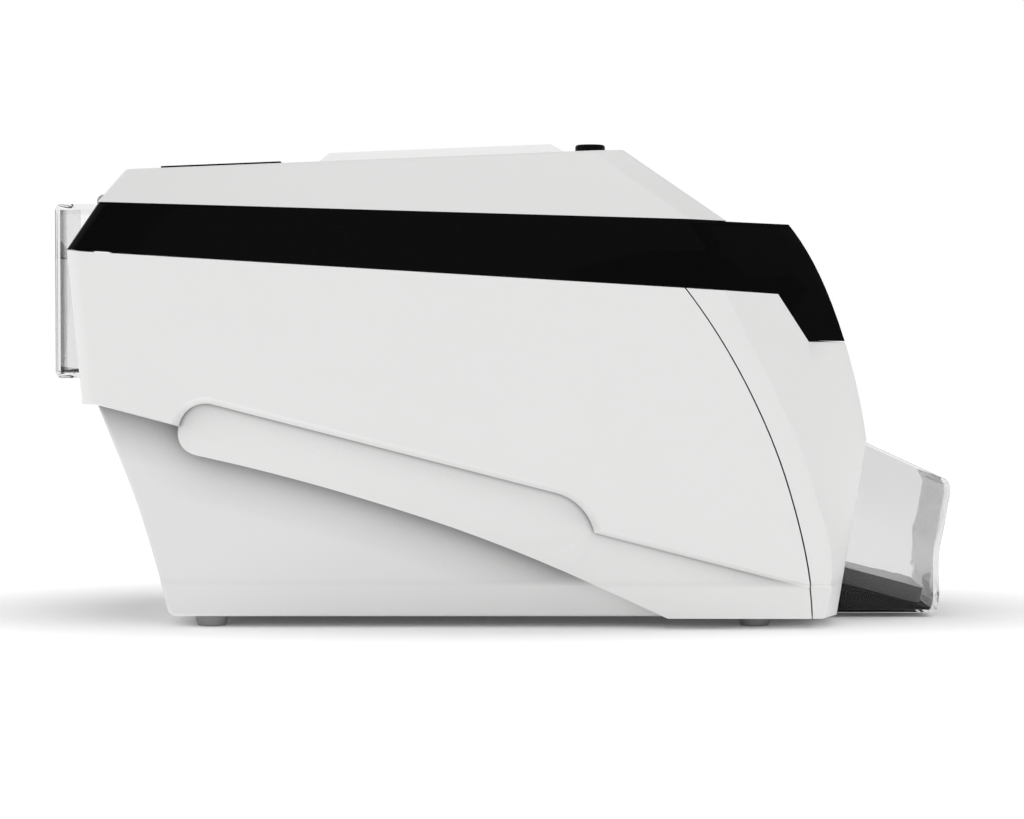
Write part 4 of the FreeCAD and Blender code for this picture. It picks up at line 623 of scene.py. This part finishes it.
class PRINTER_OT_finishes(PrinterOperator):
    """Makes the finishes that the pieces share"""
    bl_idname = "printer.finishes"
    bl_label = "Finishes"

    def execute(self, context):
        casing, clear = context.scene.printer_casing, context.scene.printer_clear
        cards, works = context.scene.printer_cards, context.scene.printer_mechanism
        moulded_grain()
        tooled_lines()
        settled_dust()
        painted_shade_and_floor_light()
        moulded("white_shell_plastic", casing.shell_colour, casing.roughness, shade=casing.shade)
        moulded("white_base_plastic", casing.base_colour, casing.roughness + 0.05, shade=casing.shade)
        moulded("white_platform_plastic", casing.platform_painted_light_colour, casing.roughness)
        polished("gloss_black_plastic", casing.gloss_colour, 0.07, 0.025, 0.01)
        polished("gloss_key_plastic", (0.004, 0.004, 0.0042), 0.18, 0.022, 0.01)
        see_through("clear_acrylic", clear.tint, clear.density, 0.0, clear.surface, 0.4)
        see_through("clear_tray_acrylic", clear.tint, clear.density, 0.0, clear.tray_surface, 0.12)
        see_through("smoked_acrylic", (0.3, 0.3, 0.32), clear.smoke, 0.03, 0.8, 0.3)
        moulded("dark_moulding", (0.028, 0.028, 0.03), 0.5, 1100.0, 0.008 * MM)
        moulded("tray_floor_moulding", (0.006, 0.006, 0.0065), 0.6, 1100.0, 0.008 * MM, specular=0.1)
        moulded("grey_moulding", (0.26, 0.265, 0.27), 0.45)
        moulded("grey_foot_rubber", (0.27, 0.27, 0.27), 0.75, 700.0, 0.02 * MM, 0.1)
        moulded("black_roller_rubber", (0.022, 0.022, 0.023), 0.6, 900.0, 0.015 * MM, 0.1)
        # Painted shade: the cards' faces and cut edges are dark greys for the shade inside the hopper
        moulded("card_face", cards.face_painted_shade_colour, 0.25, 400.0, 0.001 * MM, 0.01)
        stacked_edges("card_cut_edge", cards.edge_painted_shade_colour, cards.gap_shade_colour)
        moulded("acetal_gear", works.gear_colour, 0.38, 900.0, 0.003 * MM, 0.04)
        moulded("spool_core_plastic", works.spool_colour, 0.35)
        moulded("ceramic_glaze", (0.62, 0.6, 0.55), 0.2, 600.0, 0.001 * MM, 0.04)
        metal("zinc_plated_sheet", (0.62, 0.64, 0.66), 0.34, (25.0, 900.0, 25.0), 0.1, 0.001 * MM, 0.12)
        metal("ground_shaft_steel", (0.62, 0.62, 0.63), 0.2, (1600.0, 90.0, 1600.0), 0.08)
        metal("blackened_steel", (0.06, 0.06, 0.065), 0.38, (900.0, 900.0, 900.0), 0.2)
        metal("milled_aluminium", (0.78, 0.79, 0.8), 0.3, (1500.0, 30.0, 1500.0), 0.14)
        board_mask("green_board", (0.012, 0.1, 0.04), (0.06, 0.22, 0.07))
        display_face("display_glass")
        low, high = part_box("ribbon_web")
        film("ribbon_panels", low.x, high.x, WEB_PANELS)
        low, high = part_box("supply_film")
        middle, radius = (low + high) / 2, (high.z - low.z) / 2
        wound_film("supply_roll_film", (middle.x, 0.0, middle.z), FILM_CORE, radius, ROLL_RINGS)
        return {"FINISHED"}


class PRINTER_OT_casing(PrinterOperator):
    """Dresses the white mouldings: tub, side shells, front and rear panels"""
    bl_idname = "printer.casing"
    bl_label = "Casing"

    def execute(self, context):
        edge = context.scene.printer_casing.edge
        for node in ("side_shell_right", "side_shell_left", "front_fascia", "rear_panel"):
            dressed(node, "white_shell_plastic", edge)
        dressed("base_tub", "white_base_plastic", edge)
        return {"FINISHED"}


class PRINTER_OT_band(PrinterOperator):
    """Dresses the gloss band, the display and the panel key"""
    bl_idname = "printer.band"
    bl_label = "Gloss band and panel"

    def execute(self, context):
        edge = context.scene.printer_casing.edge
        dressed("black_band", "gloss_black_plastic", edge)
        dressed("display_window", "display_glass", edge / 2)
        dressed("panel_key", "grey_moulding", edge)
        return {"FINISHED"}


class PRINTER_OT_cover(PrinterOperator):
    """Dresses the top cover with its window, button, latch and hinges"""
    bl_idname = "printer.cover"
    bl_label = "Top cover"

    def execute(self, context):
        edge = context.scene.printer_casing.edge
        form = welded("top_cover")
        form.normal_update()
        for face in form.faces:
            middle = face.calc_center_median()
            raised = abs(middle.y) < PLATFORM_HALF and middle.z > platform_foot(middle.x)
            # The platform's faces that look up get the lighter finish: painted light from above
            if raised and face.normal.z > PLATFORM_LOOKS_UP:
                face.material_index = 1
        piece = finished(form, "top_cover_dressed", body_of("top_cover"),
                         ["white_shell_plastic", "white_platform_plastic"], edge)
        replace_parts(piece, "top_cover")
        dressed("cover_window", "smoked_acrylic", edge)
        dressed("release_button", "gloss_key_plastic", edge)
        dressed("latch_bar", "dark_moulding", edge)
        dressed("cover_hinge_brackets", "zinc_plated_sheet", edge / 2)
        dressed("cover_hinge_pins", "ground_shaft_steel", edge / 2)
        return {"FINISHED"}


class PRINTER_OT_hoppers(PrinterOperator):
    """Dresses the clear card boxes"""
    bl_idname = "printer.hoppers"
    bl_label = "Clear hoppers"

    def execute(self, context):
        edge = context.scene.printer_clear.edge
        dressed("rear_hopper_cover", "clear_acrylic", edge, 3)
        dressed("output_hopper", "clear_tray_acrylic", edge, 3)
        dressed("hopper_floor", "tray_floor_moulding", edge / 2)
        return {"FINISHED"}


class PRINTER_OT_cards(PrinterOperator):
    """Dresses the cards that lie in the front hopper"""
    bl_idname = "printer.cards"
    bl_label = "Cards"

    def execute(self, context):
        form = welded("output_cards")
        form.normal_update()
        for face in form.faces:
            face.material_index = 0 if face.calc_area() > CARD_EDGE_AREA else 1
        piece = finished(form, "card_stack", body_of("output_cards"),
                         ["card_face", "card_cut_edge"], context.scene.printer_cards.edge)
        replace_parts(piece, "output_cards")
        return {"FINISHED"}


class PRINTER_OT_feeder(PrinterOperator):
    """Dresses the card feeder: frame, gate, pick roller and belt"""
    bl_idname = "printer.feeder"
    bl_label = "Card feeder"

    def execute(self, context):
        edge = context.scene.printer_mechanism.edge
        dressed("feeder_frame", "dark_moulding", edge)
        dressed("card_gate", "zinc_plated_sheet", edge)
        dressed("pick_shaft", "ground_shaft_steel", edge)
        dressed("pick_tyres", "black_roller_rubber", edge)
        dressed("feed_belt", "black_roller_rubber", edge)
        dressed("drive_pulley", "acetal_gear", edge)
        return {"FINISHED"}


class PRINTER_OT_chassis(PrinterOperator):
    """Dresses the side plates, the cross bars and the inner deck"""
    bl_idname = "printer.chassis"
    bl_label = "Chassis"

    def execute(self, context):
        edge = context.scene.printer_mechanism.edge
        for node in ("chassis_plate_left", "chassis_plate_right"):
            dressed(node, "zinc_plated_sheet", edge)
        dressed("cross_bars", "ground_shaft_steel", edge)
        dressed("inner_deck", "dark_moulding", edge)
        return {"FINISHED"}


class PRINTER_OT_rollers(PrinterOperator):
    """Dresses the drive, platen, exit and pinch rollers"""
    bl_idname = "printer.rollers"
    bl_label = "Rollers"

    def execute(self, context):
        edge = context.scene.printer_mechanism.edge
        for node in ("rear_drive_shaft", "platen_shaft", "exit_shaft", "pinch_roller_rear",
                     "pinch_roller_exit"):
            dressed(node, "ground_shaft_steel", edge)
        for node in ("rear_drive_tyre", "platen_tyre", "exit_tyre"):
            dressed(node, "black_roller_rubber", edge)
        return {"FINISHED"}


class PRINTER_OT_gears(PrinterOperator):
    """Dresses the gear train and its motor"""
    bl_idname = "printer.gears"
    bl_label = "Gears and motor"

    def execute(self, context):
        edge = context.scene.printer_mechanism.edge / 2
        for node in ("platen_gear", "rear_idler_gear", "front_idler_gear", "takeup_gear"):
            dressed(node, "acetal_gear", edge)
        dressed("motor_pinion", "ground_shaft_steel", edge)
        dressed("main_motor", "blackened_steel", edge)
        return {"FINISHED"}


class PRINTER_OT_ribbon(PrinterOperator):
    """Dresses the ribbon: spools, film roll and the film between them"""
    bl_idname = "printer.ribbon"
    bl_label = "Ribbon"

    def execute(self, context):
        edge = context.scene.printer_mechanism.edge
        dressed("supply_spool", "spool_core_plastic", edge)
        dressed("takeup_spool", "spool_core_plastic", edge)
        dressed("supply_film", "supply_roll_film", edge)
        painted("ribbon_web", "ribbon_panels")
        return {"FINISHED"}


class PRINTER_OT_head(PrinterOperator):
    """Dresses the print head, its heat sink and its bracket"""
    bl_idname = "printer.head"
    bl_label = "Print head"

    def execute(self, context):
        edge = context.scene.printer_mechanism.edge
        dressed("thermal_head", "ceramic_glaze", edge)
        dressed("head_heatsink", "milled_aluminium", edge)
        dressed("head_bracket", "blackened_steel", edge)
        return {"FINISHED"}


class PRINTER_OT_electronics(PrinterOperator):
    """Dresses the board and the fan"""
    bl_idname = "printer.electronics"
    bl_label = "Board and fan"

    def execute(self, context):
        edge = context.scene.printer_mechanism.edge
        dressed("main_board", "green_board", edge)
        dressed("fan_frame", "dark_moulding", edge)
        dressed("fan_rotor", "dark_moulding", edge)
        return {"FINISHED"}


class PRINTER_OT_sockets(PrinterOperator):
    """Dresses the connector plate, its sockets and the power switch"""
    bl_idname = "printer.sockets"
    bl_label = "Sockets and switch"

    def execute(self, context):
        edge = context.scene.printer_mechanism.edge
        dressed("connector_plate", "grey_moulding", edge)
        for node in ("power_socket", "power_switch_frame"):
            dressed(node, "dark_moulding", edge)
        for node in ("usb_socket", "network_socket"):
            dressed(node, "zinc_plated_sheet", edge)
        dressed("power_rocker", "gloss_key_plastic", edge)
        return {"FINISHED"}


class PRINTER_OT_feet(PrinterOperator):
    """Dresses the rubber feet and the screws beneath"""
    bl_idname = "printer.feet"
    bl_label = "Feet and screws"

    def execute(self, context):
        edge = context.scene.printer_mechanism.edge
        dressed("rubber_feet", "grey_foot_rubber", edge * 3, 3)
        dressed("base_screws", "blackened_steel", edge / 2)
        return {"FINISHED"}


def seen_plainly(tree):
    """1 for rays from the camera, from a mirror-like surface or through glass."""
    path = put(tree, "LightPath").outputs
    seen = maths(tree, "MAXIMUM", path["Is Camera Ray"], path["Is Glossy Ray"])
    return maths(tree, "MAXIMUM", seen, path["Is Transmission Ray"])


def lamp(name, power, side, place):
    data = bpy.data.lights.new(name, "AREA")
    data.shape = "SQUARE"
    data.size = side
    data.energy = power
    made = bpy.data.objects.new(name, data)
    made.location = place
    made.rotation_mode = "QUATERNION"
    made.rotation_quaternion = (Vector(LAMP_TARGET) - Vector(place)).to_track_quat("-Z", "Y")
    bpy.context.scene.collection.objects.link(made)


class PRINTER_OT_stage(PrinterOperator):
    """Sets the floor, the white surroundings, the lamps and the camera"""
    bl_idname = "printer.stage"
    bl_label = "Studio"

    def execute(self, context):
        studio = context.scene.printer_studio
        form = bmesh.new()
        bmesh.ops.create_grid(form, x_segments=1, y_segments=1, size=FLOOR_HALF)
        mesh = bpy.data.meshes.new("studio_floor")
        form.to_mesh(mesh)
        form.free()
        floor = bpy.data.objects.new("studio_floor", mesh)
        context.scene.collection.objects.link(floor)

        paper = bpy.data.materials.new("white_sweep")
        paper.use_nodes = True
        tree = paper.node_tree
        tree.nodes.remove(tree.nodes["Principled BSDF"])
        matt = put(tree, "BsdfDiffuse", Color=(0.95, 0.95, 0.95, 1.0))
        stretched = put(tree, "Mapping", Vector=object_place(tree), Scale=FLOOR_STRETCH).outputs["Vector"]
        away = vector_maths(tree, "LENGTH", stretched, result="Value")
        glow = ranged(tree, away, *WHITE_RING, studio.glow, studio.far_glow)
        given_off = ranged(tree, away, *LIT_RING, 0.0, studio.table)
        light = put(tree, "Emission", Strength=ranged(tree, seen_plainly(tree), 0.0, 1.0, given_off, glow))
        both = put(tree, "AddShader")
        tree.links.new(matt.outputs[0], both.inputs[0])
        tree.links.new(light.outputs[0], both.inputs[1])
        tree.links.new(both.outputs[0], tree.nodes["Material Output"].inputs["Surface"])
        mesh.materials.append(paper)

        world = bpy.data.worlds.new("white_room")
        world.use_nodes = True
        tree = world.node_tree
        background = tree.nodes["Background"]
        background.inputs["Color"].default_value = (1.0, 1.0, 1.0, 1.0)
        sky = ranged(tree, seen_plainly(tree), 0.0, 1.0, studio.sky, 1.0)
        tree.links.new(sky, background.inputs["Strength"])
        context.scene.world = world

        powers = (studio.top, studio.fore, studio.side, studio.front)
        for power, (name, side, place) in zip(powers, LAMPS):
            lamp(name, power, side, place)

        camera = bpy.data.cameras.new("camera")
        camera.lens = studio.lens
        camera.sensor_width = SENSOR_WIDTH
        camera.clip_start, camera.clip_end = CLIP_START, CLIP_END
        eye = bpy.data.objects.new("camera", camera)
        eye.location = studio.eye
        eye.rotation_euler = (math.radians(90.0) - studio.pitch, 0.0, 0.0)
        context.scene.collection.objects.link(eye)
        context.scene.camera = eye
        context.scene.view_settings.view_transform = "Standard"
        return {"FINISHED"}


OPERATORS = (PRINTER_OT_stage, PRINTER_OT_finishes, PRINTER_OT_casing, PRINTER_OT_band,
             PRINTER_OT_cover, PRINTER_OT_hoppers, PRINTER_OT_cards, PRINTER_OT_feeder,
             PRINTER_OT_chassis, PRINTER_OT_rollers, PRINTER_OT_gears, PRINTER_OT_ribbon,
             PRINTER_OT_head, PRINTER_OT_electronics, PRINTER_OT_sockets, PRINTER_OT_feet)


class PRINTER_PT_sidebar(bpy.types.Panel):
    """The printer's pieces and settings"""
    bl_idname = "PRINTER_PT_sidebar"
    bl_label = "Card printer"
    bl_space_type = "VIEW_3D"
    bl_region_type = "UI"
    bl_category = "Card printer"

    def draw(self, context):
        for owner, kind in SETTINGS.items():
            box = self.layout.box()
            for label in kind.__annotations__:
                box.prop(getattr(context.scene, owner), label)
        for operator in OPERATORS:
            self.layout.operator(operator.bl_idname)


def register():
    for kind in (*SETTINGS.values(), *OPERATORS, PRINTER_PT_sidebar):
        bpy.utils.register_class(kind)
    for owner, kind in SETTINGS.items():
        setattr(bpy.types.Scene, owner, PointerProperty(type=kind))


def unregister():
    for owner in SETTINGS:
        delattr(bpy.types.Scene, owner)
    for kind in (PRINTER_PT_sidebar, *reversed(OPERATORS), *SETTINGS.values()):
        bpy.utils.unregister_class(kind)


def main():
    register()
    for operator in OPERATORS:
        getattr(bpy.ops.printer, operator.bl_idname.split(".")[1])()


if __name__ == "__main__":
    main()
